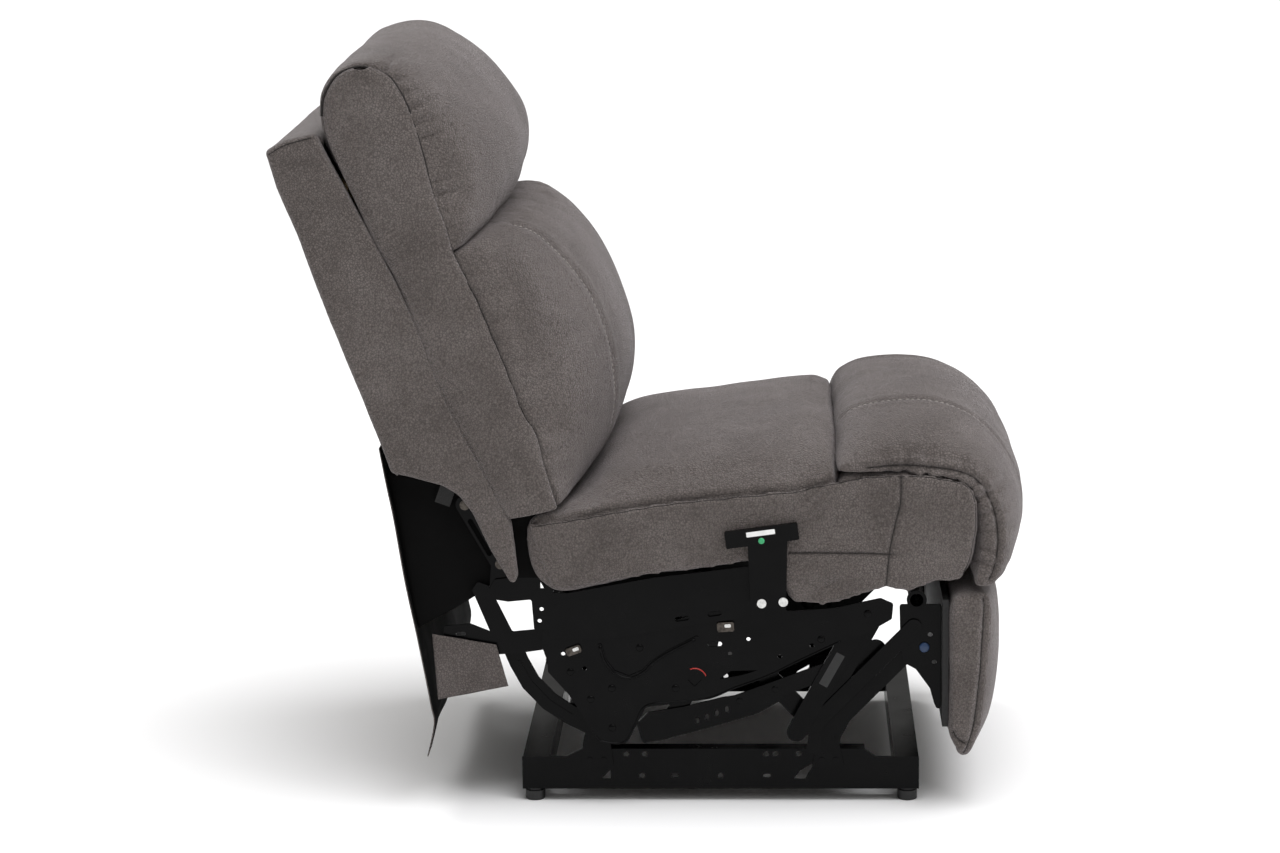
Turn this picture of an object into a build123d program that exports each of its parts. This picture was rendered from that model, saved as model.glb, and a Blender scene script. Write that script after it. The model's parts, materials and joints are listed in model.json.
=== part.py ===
"""Armless reclining chair with a power footrest, a push-back recline and a tilting headrest.

Frame: +X is forward, +Y is the sitter's left, +Z is up.  The origin is on the floor, in the
middle of the footprint.  All lengths are in millimetres.  Outlines are (x, z) pairs, and layers
are distances |y| from the middle plane, so a left-hand piece is the mirror of a right-hand one.
"""
from build123d import *
import math
import os

# ---------------------------------------------------------------- overall sizes
HALF_WIDTH = 317.5            # upholstery, half of 635 mm
SOFT_HALF = 314.0             # seat and back cushions, inside the covers' outer faces
WING_INNER = 297.5            # inner face of the padded side panel of the back
SHEET = 3.0                   # thickness of the stamped steel

# ---------------------------------------------------------------- steel layers, |y| of inner face
Y_BASE_WEB = 259.0
Y_BASE_BRACKET = 262.2
Y_LIFT = 266.0
Y_LINK_D = 272.0
Y_LINK_B = 276.0
Y_LINK_C = 280.0
Y_LINK_A = 284.0
Y_PLATE = 288.0
Y_RAIL = 292.0

# ---------------------------------------------------------------- pivots (x, z)
STUD_R = 5.0
BIG_STUD_R = 6.0
RUNNING_CLEARANCE = 0.05

LIFT_BASE_REAR = (-87.0, 113.0)
LIFT_BASE_FRONT = (245.0, 95.0)
LIFT_ARM = (-118.0, 127.0)

LINK_A = (-90.0, -165.0)      # first ottoman link, from its seat pivot to its elbow
LINK_STEP = (30.0, 14.0)      # from the pivot of link A to that of link B
LINK_C = (165.0, 152.0)       # from the elbow of link A to the ottoman bracket
BRACKET_STEP = (-5.0, -38.0)  # between the two pivots of the ottoman bracket
DRIVE_SHARE = 0.45            # length of the drive arm as a share of link A

PIVOT_A = (290.0, 275.0)
DRIVE_AXIS = (57.0, 188.0)
BACK_HINGE = (-217.0, 320.0)
HEADREST_HINGE = (-318.0, 768.0)


def add(p, q, scale=1.0):
    """Point p moved by scale times the vector q."""
    return (p[0] + scale * q[0], p[1] + scale * q[1])


PIVOT_B = add(PIVOT_A, LINK_STEP)
ELBOW_A = add(PIVOT_A, LINK_A)
CROSSING = add(ELBOW_A, LINK_STEP)
ELBOW_B = add(CROSSING, BRACKET_STEP)
OTTOMAN_UPPER = add(ELBOW_A, LINK_C)
OTTOMAN_LOWER = add(OTTOMAN_UPPER, BRACKET_STEP)
DRAG_FRONT = add(PIVOT_A, LINK_A, DRIVE_SHARE)
DRAG_REAR = add(DRIVE_AXIS, LINK_A, DRIVE_SHARE)
LIFT_SEAT_REAR = add(LIFT_BASE_REAR, LIFT_ARM)
LIFT_SEAT_FRONT = add(LIFT_BASE_FRONT, LIFT_ARM)


# ---------------------------------------------------------------- helpers
def on_side(face, inner, thickness=SHEET):
    """A plate on the right-hand side: an (x, z) face extruded outwards from |y| = inner."""
    return extrude(Plane.XZ.offset(inner) * face, thickness)


def across(face, half_length):
    """An (x, z) face extruded over the whole width between +-half_length."""
    return extrude(Plane.XZ * face, half_length, both=True)


def left(part):
    """The mirror image of a right-hand piece."""
    return mirror(part, about=Plane.XZ)


def both_sides(part):
    """A right-hand piece and its mirror image, as one group of separate solids."""
    return Compound(children=[*part.solids(), *left(part).solids()])


def outline(*points, radius=0.0):
    """Flat face with straight edges and, if a radius is given, rounded corners."""
    face = make_face(Polyline(*points, close=True))
    if radius:
        face = fillet(face.vertices(), radius)
    return face


def disc(centre, radius):
    return Pos(*centre) * Circle(radius)


def bar(start, end, width):
    """Flat bar with round ends centred on the two points."""
    length = math.hypot(end[0] - start[0], end[1] - start[1])
    angle = math.degrees(math.atan2(end[1] - start[1], end[0] - start[0]))
    middle = add(start, (end[0] - start[0], end[1] - start[1]), 0.5)
    return Pos(*middle) * (Rot(0, 0, angle) * SlotCenterToCenter(length, width))


def bent_bar(points, width):
    """Bar that follows several points."""
    face = bar(points[0], points[1], width)
    for start, end in zip(points[1:], points[2:]):
        face += bar(start, end, width)
    return face


def punch(face, centres, radius):
    """The face with a round hole at each centre."""
    for centre in centres:
        face -= disc(centre, radius)
    return face


def slots(face, centres, length, height, angle=0.0):
    """The face with a rounded slot at each centre."""
    for centre in centres:
        face -= Pos(*centre) * (Rot(0, 0, angle) * SlotOverall(length, height))
    return face


def stud(centre, inner, outer, radius=STUD_R, head=None, head_at="inner", head_height=1.6):
    """Round stud on the right-hand side between two |y| values, with one flat head."""
    part = on_side(disc(centre, radius), inner, outer - inner)
    if head:
        start = inner if head_at == "inner" else outer - head_height
        part += on_side(disc(centre, head), start, head_height)
    return part


def crowned(side_face, half_width, section, direction_deg, centre):
    """Cushion: a side outline over the width, cut to a crowned section along one direction.

    The section is a face in (height, y); it is swept along the direction, which is measured
    from +X towards +Z, through the given (x, z) centre.
    """
    along = math.radians(direction_deg)
    direction = Vector(math.cos(along), 0, math.sin(along))
    height = Vector(-math.sin(along), 0, math.cos(along))
    plane = Plane(origin=(centre[0], 0, centre[1]), x_dir=height, z_dir=direction)
    return across(side_face, half_width) & extrude(plane * section, 900, both=True)


def crown_section(half_width, depth, edge, crown, shoulder=0.72):
    """Section of a cushion: flat underneath, edge high at the sides and crown in the middle."""
    top = Spline(
        (edge, -half_width),
        (edge + 0.62 * (crown - edge), -shoulder * half_width * 1.17),
        (crown, 0),
        (edge + 0.62 * (crown - edge), shoulder * half_width * 1.17),
        (edge, half_width),
    )
    rest = Polyline((edge, half_width), (-depth, half_width), (-depth, -half_width), (edge, -half_width))
    return make_face([*top.edges(), *rest.edges()])


PARTS = {}


# ---------------------------------------------------------------- base frame on the floor
BASE_REAR_X = -191.0
BASE_FRONT_X = 374.0
BASE_BOTTOM = 19.0
BASE_TOP = 78.0
FOOT_XS = (-174.0, 358.0)
FOOT_Y = Y_BASE_WEB - 14


def base_rail():
    """Folded side rail: a web with a raised lower band, and a narrow flange top and bottom."""
    web = outline((BASE_REAR_X, BASE_BOTTOM), (BASE_FRONT_X, BASE_BOTTOM), (BASE_FRONT_X, 66),
                  (312, 67), (297, BASE_TOP), (-105, BASE_TOP), (-128, 67), (BASE_REAR_X, 66))
    web = punch(web, [(x, 70) for x in (-68, -42, -16, 157, 170, 203)], 4)
    web = punch(web, [(x, 38) for x in (-20, 92)], 4)
    web = slots(web, [(27, 38), (158, 38)], 11, 6)
    web -= outline((-79, 33), (-65, 33), (-65, 47))
    web -= outline((196, 33), (212, 33), (226, 58), (205, 46))
    part = on_side(web, Y_BASE_WEB)
    flange_inner = Y_BASE_WEB - 22
    top = outline((-105, BASE_TOP - SHEET), (297, BASE_TOP - SHEET), (297, BASE_TOP), (-105, BASE_TOP))
    bottom = outline((BASE_REAR_X, BASE_BOTTOM), (BASE_FRONT_X, BASE_BOTTOM),
                     (BASE_FRONT_X, BASE_BOTTOM + SHEET), (BASE_REAR_X, BASE_BOTTOM + SHEET))
    part += on_side(top, flange_inner, 22)
    part += on_side(bottom, flange_inner, 22)
    for x in FOOT_XS:
        part -= Pos(x, -FOOT_Y, BASE_BOTTOM) * Cylinder(4.2, 20)
    return part


def base_crossmember(x_inner, x_outer):
    """Channel between the side rails, open downwards, resting on their bottom flanges."""
    low = BASE_BOTTOM + SHEET + 0.2
    high = 62.0
    shell = outline((x_inner, low), (x_inner, high), (x_outer, high), (x_outer, low),
                    (x_outer - SHEET, low), (x_outer - SHEET, high - SHEET),
                    (x_inner + SHEET, high - SHEET), (x_inner + SHEET, low))
    return across(shell, Y_BASE_WEB - 0.3)


def glide_feet():
    """Four round glides, each with a washer and a threaded stem through the rail flange."""
    upright = (Align.CENTER, Align.CENTER, Align.MIN)
    foot = Cylinder(14, 14, align=upright)
    foot = fillet(foot.edges().group_by(Axis.Z)[0], 2)
    foot += Pos(0, 0, 14) * Cylinder(11, 4.8, align=upright)
    foot += Pos(0, 0, 18) * Cylinder(4, 12, align=upright)
    feet = [Pos(x, side * FOOT_Y, 0) * foot for x in FOOT_XS for side in (-1, 1)]
    return Compound(children=feet)


def pivot_brackets():
    """Four stamped brackets that stand on the base rails and carry the lift links."""
    rear = outline((-106, 52), (-60, 52), (-64, 86), (-76, 113), (-87, 125), (-98, 113), (-104, 86),
                   radius=3)
    front = outline((222, 52), (268, 52), (262, 80), (258, 98), (245, 108), (232, 98), (228, 80),
                    radius=3)
    rear = punch(rear, [LIFT_BASE_REAR], BIG_STUD_R + RUNNING_CLEARANCE)
    front = punch(front, [LIFT_BASE_FRONT], BIG_STUD_R + RUNNING_CLEARANCE)
    plates = on_side(rear, Y_BASE_BRACKET) + on_side(front, Y_BASE_BRACKET)
    for centre in ((-94, 62), (-74, 62), (236, 62), (256, 62)):
        plates += on_side(disc(centre, 4.5), Y_BASE_BRACKET + SHEET, 1.2)
    return both_sides(plates)


def base_studs():
    """Shouldered studs of the lift links on the base brackets."""
    studs = [stud(centre, Y_BASE_BRACKET - 0.1, 271.0, BIG_STUD_R, head=9.5, head_at="outer")
             for centre in (LIFT_BASE_REAR, LIFT_BASE_FRONT)]
    return both_sides(studs[0] + studs[1])


rail = base_rail()
PARTS["base_rail_right"] = rail
PARTS["base_rail_left"] = left(rail)
PARTS["base_crossmember_rear"] = base_crossmember(BASE_REAR_X, -152.0)
PARTS["base_crossmember_front"] = base_crossmember(339.0, BASE_FRONT_X)
PARTS["glide_feet"] = glide_feet()
PARTS["base_pivot_brackets"] = pivot_brackets()
PARTS["base_pivot_studs"] = base_studs()


# ---------------------------------------------------------------- lift links under the seat
def lift_link_rear():
    """Curved rear link with a pressed rib along its outer face."""
    centreline = [LIFT_SEAT_REAR, (-192, 208), (-176, 178), (-150, 150), (-120, 130), LIFT_BASE_REAR]
    face = bent_bar(centreline, 28)
    face = punch(face, [LIFT_SEAT_REAR, LIFT_BASE_REAR], BIG_STUD_R + RUNNING_CLEARANCE)
    part = on_side(face, Y_LIFT)
    rib = bent_bar(centreline[1:-1], 5)
    return part + on_side(rib, Y_LIFT + SHEET, 1.0)


def bell_crank():
    """Front lift link: one arm carries the seat, the other reaches forward under it."""
    face = bar(LIFT_BASE_FRONT, LIFT_SEAT_FRONT, 28)
    face += bar(LIFT_BASE_FRONT, (312, 225), 30)
    face += outline((245, 81), (262, 88), (262, 118), (228, 118), (230, 86), radius=4)
    face = punch(face, [LIFT_SEAT_FRONT, LIFT_BASE_FRONT], BIG_STUD_R + RUNNING_CLEARANCE)
    face = punch(face, [(295, 190)], 5)
    return on_side(face, Y_LIFT)


LIFT_TUBE_CENTRE = (-115.0, 137.0)
link = lift_link_rear()
PARTS["lift_link_rear_right"] = link
PARTS["lift_link_rear_left"] = left(link)
PARTS["lift_cross_tube"] = across(disc(LIFT_TUBE_CENTRE, 11) - disc(LIFT_TUBE_CENTRE, 9.4), Y_LIFT - 0.2)
crank = bell_crank()
PARTS["lift_bell_crank_right"] = crank
PARTS["lift_bell_crank_left"] = left(crank)


# ---------------------------------------------------------------- seat carriage
CONNECTOR_SCREWS = [(152.0, 307.0), (182.0, 309.0)]


def seat_rail():
    """Pressed side rail of the seat, with the back hinge lug at its rear end."""
    face = outline((-146, 250), (-70, 248), (0, 259), (60, 270), (115, 277), (186, 287), (186, 358),
                   (133, 353), (100, 349), (60, 344), (0, 337), (-60, 326), (-120, 315), (-150, 316),
                   radius=2)
    lug = outline((-140, 262), (-168, 262), (-171, 306), (-204, 303), (-222, 306), (-231, 320),
                  (-222, 335), (-150, 344), (-140, 330), radius=3)
    lug -= outline((-158, 322), (-152, 322), (-150, 331), (-158, 334))
    face += lug
    face = punch(face, [BACK_HINGE], BIG_STUD_R + RUNNING_CLEARANCE)
    face = punch(face, [(-160, 275), (-157, 292)], 3)
    face = slots(face, [(86, 285), (40, 278)], 20, 7, 8)
    face = punch(face, CONNECTOR_SCREWS, 4.05)
    return on_side(face, Y_RAIL)


def mech_plate():
    """Long mechanism plate, which carries the ottoman links and the drive shaft."""
    face = outline((-26, 122), (-12, 148), (32, 154), (78, 160), (112, 174), (160, 192), (208, 216),
                   (262, 242), (300, 256), (334, 276), (336, 298), (318, 306), (295, 301), (255, 292),
                   (200, 288), (110, 290), (60, 284), (10, 268), (-60, 262), (-156, 262), (-158, 238),
                   (-150, 214), (-150, 200), (-122, 168), (-104, 140), (-88, 110), (-74, 95), (-42, 94),
                   radius=4)
    face -= outline((92, 189), (108, 201), (146, 202), (122, 194))
    face = punch(face, [PIVOT_A, PIVOT_B], STUD_R + RUNNING_CLEARANCE)
    face = punch(face, [DRIVE_AXIS], 10 + RUNNING_CLEARANCE)
    face = punch(face, [LIFT_SEAT_FRONT], BIG_STUD_R + RUNNING_CLEARANCE)
    face = slots(face, [(86, 240)], 20, 7)
    face = punch(face, [(107, 226), (177, 222), (133, 247), (222, 238), (-98, 205), (-128, 226)], 3)
    part = on_side(face, Y_PLATE, 3.5)
    ridge = bent_bar([(-76, 238), (-70, 217), (-58, 200), (-36, 191), (-15, 200), (-2, 213), (20, 228),
                      (60, 249)], 6)
    return part + on_side(ridge, Y_PLATE + 3.5, 2.0)


def rear_arm():
    """Rear arm that carries the back of the seat on the rear lift link."""
    face = outline((-296, 266), (-258, 269), (-224, 255), (-130, 264), (-122, 236), (-192, 226),
                   (-226, 224), (-262, 230), (-298, 238), radius=4)
    face += outline((-226, 246), (-196, 250), (-231, 324), (-247, 330), (-255, 318), radius=4)
    face = punch(face, [LIFT_SEAT_REAR], BIG_STUD_R + RUNNING_CLEARANCE)
    face = slots(face, [(-272, 254)], 14, 6)
    return on_side(face, Y_LINK_A)


def seat_studs():
    """Studs of the lift links, the ottoman links and the back hinge, all fixed to the seat."""
    rear = stud(LIFT_SEAT_REAR, 264.2, 287.0, BIG_STUD_R)
    rear += on_side(disc(LIFT_SEAT_REAR, 9), 269.3, 14.4)
    front = stud(LIFT_SEAT_FRONT, 264.2, 291.5, BIG_STUD_R)
    front += on_side(disc(LIFT_SEAT_FRONT, 9), 269.3, 18.4)
    first = stud(PIVOT_A, Y_LINK_A, 291.5)
    second = stud(PIVOT_B, Y_LINK_B, 291.5)
    hinge = stud(BACK_HINGE, Y_PLATE, 295.0, BIG_STUD_R)
    return both_sides(Compound(children=[rear, front, first, second, hinge]))


def seat_crossmember(x, z):
    """Steel angle between the two seat rails."""
    angle = outline((x, z), (x + 32, z), (x + 32, z + SHEET), (x + SHEET, z + SHEET),
                    (x + SHEET, z + 30), (x, z + 30))
    return across(angle, Y_RAIL - 0.3)


rail = seat_rail()
PARTS["seat_rail_right"] = rail
PARTS["seat_rail_left"] = left(rail)
plate = mech_plate()
PARTS["mech_plate_right"] = plate
PARTS["mech_plate_left"] = left(plate)
arm = rear_arm()
PARTS["rear_arm_right"] = arm
PARTS["rear_arm_left"] = left(arm)
PARTS["seat_pivot_studs"] = seat_studs()
PARTS["seat_crossmember_rear"] = seat_crossmember(-135.0, 272.0)
PARTS["seat_crossmember_front"] = seat_crossmember(138.0, 318.0)


# ---------------------------------------------------------------- connector brackets at the sides
CONNECTOR_Y = 318.2           # inner face of the bracket, just clear of the upholstery
def connector_bracket():
    """T-shaped bracket that hooks the next seating unit, standing off the rail on a foot."""
    stem = outline((137, 299), (186, 301), (188, 396), (133, 390), radius=2)
    hook = Pos(152.5, 404) * (Rot(0, 0, 7.5) * RectangleRounded(102, 24, 2))
    foot = outline((139, 300), (186, 302), (186, 318), (139, 316))
    part = on_side(stem, CONNECTOR_Y)
    part += on_side(hook, CONNECTOR_Y, 7)
    part += on_side(foot, Y_RAIL + SHEET + 0.3, CONNECTOR_Y - Y_RAIL - SHEET - 0.3)
    for centre in CONNECTOR_SCREWS:
        part -= on_side(disc(centre, 4.05), Y_RAIL, 40)
    return part


def connector_screws():
    """Zinc screws, two in each bracket, through its foot into the seat rail."""
    screws = [stud(centre, Y_RAIL - 1.5, 324.0, 4.0, head=6.5, head_at="outer", head_height=2.6)
              for centre in CONNECTOR_SCREWS]
    return both_sides(screws[0] + screws[1])


bracket = connector_bracket()
PARTS["connector_bracket_right"] = bracket
PARTS["connector_bracket_left"] = left(bracket)
PARTS["connector_screws"] = connector_screws()


# ---------------------------------------------------------------- seat upholstery
SEAT_PITCH = 7.0              # the seat rises towards the front


def seat_cushion():
    """Main seat cushion with its side boxing, from the back to the crease of the front roll."""
    side = outline((-133, 318), (-120, 317), (-60, 328), (0, 339), (60, 346), (100, 351), (135, 357),
                   (188, 362), (188, 375.5), (256, 377), (256, 545), (200, 541), (111, 530), (0, 515),
                   (-61, 503), (-89, 464), (-125, 435), (-158, 429), (-173, 423), (-166, 390),
                   (-160, 350), (-136, 348), radius=2)
    section = crown_section(SOFT_HALF, 170, 0, 60)
    return crowned(side, SOFT_HALF, section, SEAT_PITCH, (60, 460))


def seat_roll():
    """Front roll: it covers the top of the front box and wraps down over its face."""
    side = outline((257, 484), (257, 540), (285, 558), (320, 568), (367, 571), (415, 564), (455, 545),
                   (488, 513), (510, 474), (521, 440), (524.4, 410), (521, 382), (508, 352), (490, 335),
                   (472, 328), (456, 330), (455, 470), (440, 484), (400, 490), (360, 495), (300, 493),
                   radius=3)
    section = crown_section(SOFT_HALF, 240, 26, 92)
    plan = crown_section(SOFT_HALF, 400, 490, 524.4)
    roll = crowned(side, SOFT_HALF, section, 0, (380, 482))
    return roll & extrude(plan, 700, both=True)


def seat_front_box():
    """Upholstered box under the front roll."""
    side = outline((190, 308), (200, 301), (240, 299), (270, 305.5), (300, 316), (352, 317), (390, 332),
                   (420, 331), (437, 345), (445, 365), (452, 420), (450, 450), (440, 474), (400, 486),
                   (360, 491), (300, 489), (257.5, 480), (257.5, 375.5), (190, 374), radius=3)
    return across(side, SOFT_HALF)


PARTS["seat_cushion"] = seat_cushion()
PARTS["seat_roll"] = seat_roll()
PARTS["seat_front_box"] = seat_front_box()


# ---------------------------------------------------------------- cloth behind and below the back
def rear_skirt():
    """Loose cloth that hangs from the back and is fastened to the rear arms of the seat."""
    line = [(-380, 522), (-362, 420), (-349, 320), (-334, 250), (-326, 200), (-317, 130), (-326, 75)]
    front = [(x + 2.5, z) for x, z in reversed(line)]
    return across(outline(*line, *front), 296)


def skirt_flaps():
    """Small cloth flaps that close the lower rear corners at both sides."""
    face = outline((-313, 256), (-262, 246), (-222, 242), (-206, 180), (-240, 165), (-307, 160), radius=3)
    return both_sides(on_side(face, Y_RAIL, 2.5))


PARTS["rear_skirt"] = rear_skirt()
PARTS["skirt_flaps"] = skirt_flaps()


# ---------------------------------------------------------------- drive of the footrest
def gear_motor():
    """Gear box round the drive shaft with a motor barrel behind it, hung from the seat."""
    box = outline((30, 158), (84, 158), (90, 190), (80, 222), (36, 222), (26, 190), radius=6)
    box = punch(box, [DRIVE_AXIS], 11.2)
    part = across(box, 24)
    barrel = Plane.YZ.offset(-84) * (Pos(0, 190) * Circle(24))
    part += extrude(barrel, 112)
    hanger = outline((40, 221), (76, 221), (76, 262), (40, 262))
    part += across(hanger, 8)
    return part


def drive_shaft():
    """Square torque tube with round journals and an arm welded on near each end."""
    square = Pos(*DRIVE_AXIS) * (Rot(0, 0, 45) * Rectangle(14, 14))
    part = across(square, Y_LINK_B)
    arm_face = bar(DRIVE_AXIS, DRAG_REAR, 26) + disc(DRIVE_AXIS, 18)
    arm_face = punch(arm_face, [DRAG_REAR], STUD_R)
    arm_part = on_side(arm_face, Y_LINK_B) + stud(DRAG_REAR, Y_LINK_B, Y_LINK_C + SHEET)
    journal = on_side(disc(DRIVE_AXIS, 10), Y_LINK_B, 15.5)
    journal -= on_side(square, 289.5, 3)
    end = arm_part + journal
    return part + end + left(end)


def drag_link():
    """Long flat link from the drive arm to the first ottoman link."""
    face = bar(DRAG_REAR, DRAG_FRONT, 24)
    face += outline((-18, 93), (8, 97), (96, 121), (146, 137), (190, 162), (150, 168), (96, 160),
                    (40, 146), (-10, 138), (-26, 122), radius=4)
    face = punch(face, [DRAG_REAR, DRAG_FRONT], STUD_R + RUNNING_CLEARANCE)
    direction = math.degrees(math.atan2(DRAG_FRONT[1] - DRAG_REAR[1], DRAG_FRONT[0] - DRAG_REAR[0]))
    face = slots(face, [(60, 126), (74, 131.5), (88, 137), (102, 142.5)], 9, 5, direction + 70)
    return on_side(face, Y_LINK_C)


PARTS["gear_motor"] = gear_motor()
PARTS["drive_shaft"] = drive_shaft()
link = drag_link()
PARTS["drag_link_right"] = link
PARTS["drag_link_left"] = left(link)


# ---------------------------------------------------------------- ottoman links
def link_a():
    """First link: a flanged channel from the seat to the elbow, with its two studs."""
    face = bar(PIVOT_A, ELBOW_A, 28)
    face = punch(face, [PIVOT_A], STUD_R + RUNNING_CLEARANCE)
    part = on_side(face, Y_LINK_A)
    for centre in (ELBOW_A, DRAG_FRONT):
        part += stud(centre, Y_LINK_C, Y_LINK_A + SHEET)
    return part


def link_b():
    """Second link: it crosses link C and ends at the lower elbow."""
    face = bent_bar([PIVOT_B, CROSSING, ELBOW_B], 20)
    face = punch(face, [PIVOT_B], STUD_R + RUNNING_CLEARANCE)
    part = on_side(face, Y_LINK_B)
    part += stud(CROSSING, Y_LINK_B, Y_LINK_C + SHEET)
    return part + stud(ELBOW_B, Y_LINK_D, Y_LINK_B + SHEET)


def link_c():
    """Third link: from the elbow of link A, over the crossing, to the ottoman bracket."""
    face = bent_bar([ELBOW_A, CROSSING, OTTOMAN_UPPER], 22)
    face = punch(face, [ELBOW_A, CROSSING, OTTOMAN_UPPER], STUD_R + RUNNING_CLEARANCE)
    return on_side(face, Y_LINK_C)


def link_d():
    """Fourth link: from the lower elbow to the lower pivot of the ottoman bracket."""
    face = bar(ELBOW_B, OTTOMAN_LOWER, 20)
    face = punch(face, [ELBOW_B, OTTOMAN_LOWER], STUD_R + RUNNING_CLEARANCE)
    return on_side(face, Y_LINK_D)


for letter, make in (("a", link_a), ("b", link_b), ("c", link_c), ("d", link_d)):
    link = make()
    PARTS[f"ottoman_link_{letter}_right"] = link
    PARTS[f"ottoman_link_{letter}_left"] = left(link)


# ---------------------------------------------------------------- ottoman (footrest)
OTTOMAN_TUBE_CENTRE = (369.0, 300.0)


def ottoman_bracket():
    """Side plate of the footrest, with its two pivot studs."""
    face = outline((345, 294), (404, 294), (404, 128), (394, 150), (388, 172), (368, 200), (350, 210),
                   (346, 245), radius=4)
    face += disc(OTTOMAN_TUBE_CENTRE, 14)
    face = punch(face, [OTTOMAN_TUBE_CENTRE], 11.05)
    face = punch(face, [(388, 250), (394, 210)], 3.5)
    part = on_side(face, Y_LINK_B)
    part += stud(OTTOMAN_UPPER, Y_LINK_B, Y_LINK_C + SHEET)
    return part + stud(OTTOMAN_LOWER, Y_LINK_D, Y_LINK_B + SHEET)


def ottoman_cushion():
    """Footrest pad with a rounded face and a pointed lower lip."""
    side = outline((413.3, 116), (413.3, 308), (440, 318), (462, 322), (480, 302), (487, 262), (490, 220),
                   (487, 178), (480, 140), (466, 108), (446, 84), (432, 71), (428, 80), radius=3)
    plan = crown_section(SOFT_HALF, 400, 474, 490)
    return across(side, SOFT_HALF) & extrude(plan, 700, both=True)


bracket = ottoman_bracket()
PARTS["ottoman_bracket_right"] = bracket
PARTS["ottoman_bracket_left"] = left(bracket)
PARTS["ottoman_tube"] = across(disc(OTTOMAN_TUBE_CENTRE, 11) - disc(OTTOMAN_TUBE_CENTRE, 9.4), Y_LINK_B + SHEET)
PARTS["ottoman_board"] = across(outline((404.5, 122), (412.8, 122), (412.8, 306), (404.5, 306)), 300)
PARTS["ottoman_cushion"] = ottoman_cushion()


# ---------------------------------------------------------------- back
BACK_BOLTS = [(-214.0, 357.0), (-262.0, 442.0)]


def back_wing():
    """Padded side panel of the back, with a tail that runs down beside the hinge."""
    face = outline((-524.4, 942), (-495, 957), (-452, 969), (-432, 924), (-402, 868), (-375, 818),
                   (-347, 760), (-320, 690), (-300, 630), (-280, 580), (-260, 540), (-240, 500),
                   (-220, 460), (-200, 423), (-191, 385), (-187, 340), (-191, 331), (-199, 334),
                   (-225, 380), (-250, 435), (-268, 460), (-290, 474), (-340, 487), (-362, 490),
                   (-380, 545), (-400, 600), (-440, 705), (-480, 820), (-508, 893), radius=2)
    return on_side(face, WING_INNER, HALF_WIDTH - WING_INNER)


def back_panel():
    """Padded rear wall between the side panels, with the top rail folded over it."""
    face = outline((-522, 938), (-500, 952), (-456, 964), (-446, 945), (-490, 930), (-498, 890),
                   (-470, 822), (-430, 707), (-390, 602), (-352, 492), (-362, 490), (-400, 600),
                   (-440, 705), (-480, 820), (-508, 893))
    return across(face, WING_INNER - 0.3)


def back_frame_rail(x, z):
    """Wooden rail between the side panels."""
    board = Pos(x, z) * (Rot(0, 0, -20) * Rectangle(22, 60))
    return across(board, 287.5)


def back_bracket():
    """Steel bracket that joins the back to its hinge on the seat rail."""
    face = bent_bar([BACK_HINGE, *BACK_BOLTS], 26)
    face = punch(face, [BACK_HINGE], BIG_STUD_R + RUNNING_CLEARANCE)
    face = punch(face, BACK_BOLTS, 4.05)
    face = slots(face, [(-242, 395)], 60, 7, 119)
    return on_side(face, Y_PLATE)


def back_bolts():
    """Bolts of the back brackets."""
    bolts = [stud(centre, 284.0, 295.0, 4.0, head=7.0, head_at="outer", head_height=3.6)
             for centre in BACK_BOLTS]
    return both_sides(bolts[0] + bolts[1])


wing = back_wing()
PARTS["back_wing_right"] = wing
PARTS["back_wing_left"] = left(wing)
PARTS["back_panel"] = back_panel()
PARTS["back_rail_upper"] = back_frame_rail(-432, 868)
PARTS["back_rail_lower"] = back_frame_rail(-284, 470)
bracket = back_bracket()
PARTS["back_bracket_right"] = bracket
PARTS["back_bracket_left"] = left(bracket)
PARTS["back_bolts"] = back_bolts()


# ---------------------------------------------------------------- back cushions
BACK_LEAN = 112.0             # direction of the back, from +X towards +Z


def lumbar_cushion():
    """Lower back cushion; its top is cut back under the headrest by the headrest's travel."""
    side = outline((-194, 428), (-160, 434), (-128, 440), (-94, 470), (-64, 515), (-47, 570), (-42, 620),
                   (-54, 682), (-80, 742), (-112, 785), (-148, 810), (-186, 806), (-226, 783), (-265, 767),
                   (-300, 751), (-334, 738), (-315, 690), (-295, 630), (-275, 580), (-255, 540),
                   (-235, 500), (-215, 460), radius=3)
    section = crown_section(SOFT_HALF, 400, -118, -12)
    return crowned(side, SOFT_HALF, mirror(section, about=Plane.YZ), BACK_LEAN, (-60, 610))


def headrest_cushion():
    """Upper back cushion, which tilts forward with its board."""
    side = outline((-340, 776), (-300, 768), (-270, 792), (-235, 816), (-204, 850), (-192, 878), (-187, 918),
                   (-201, 964), (-236, 1012), (-290, 1058), (-345, 1078), (-395, 1070), (-435, 1048),
                   (-452, 1010), (-450, 972), (-418, 918), (-388, 862), (-362, 812), radius=4)
    section = crown_section(SOFT_HALF - 2, 400, -62, 8)
    return crowned(side, SOFT_HALF - 2, mirror(section, about=Plane.YZ), BACK_LEAN, (-190, 920))


PARTS["lumbar_cushion"] = lumbar_cushion()
PARTS["headrest_cushion"] = headrest_cushion()


# ---------------------------------------------------------------- export
os.makedirs("parts", exist_ok=True)
for name, part in PARTS.items():
    part.label = name
    export_step(part, f"parts/{name}.step")
    box = part.bounding_box()
    print(f"{name:26s} x {box.min.X:7.1f} {box.max.X:7.1f}  y {box.min.Y:7.1f} {box.max.Y:7.1f}"
          f"  z {box.min.Z:7.1f} {box.max.Z:7.1f}  solids {len(part.solids())}")
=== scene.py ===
"""Looks of the armless reclining chair: upholstery, steel, light and camera.  Metres, chair frame."""
import json
import math
from copy import copy

import bmesh
import bpy
import numpy
from mathutils import Matrix, Vector, noise
from mathutils.bvhtree import BVHTree
from mathutils.kdtree import KDTree


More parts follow.
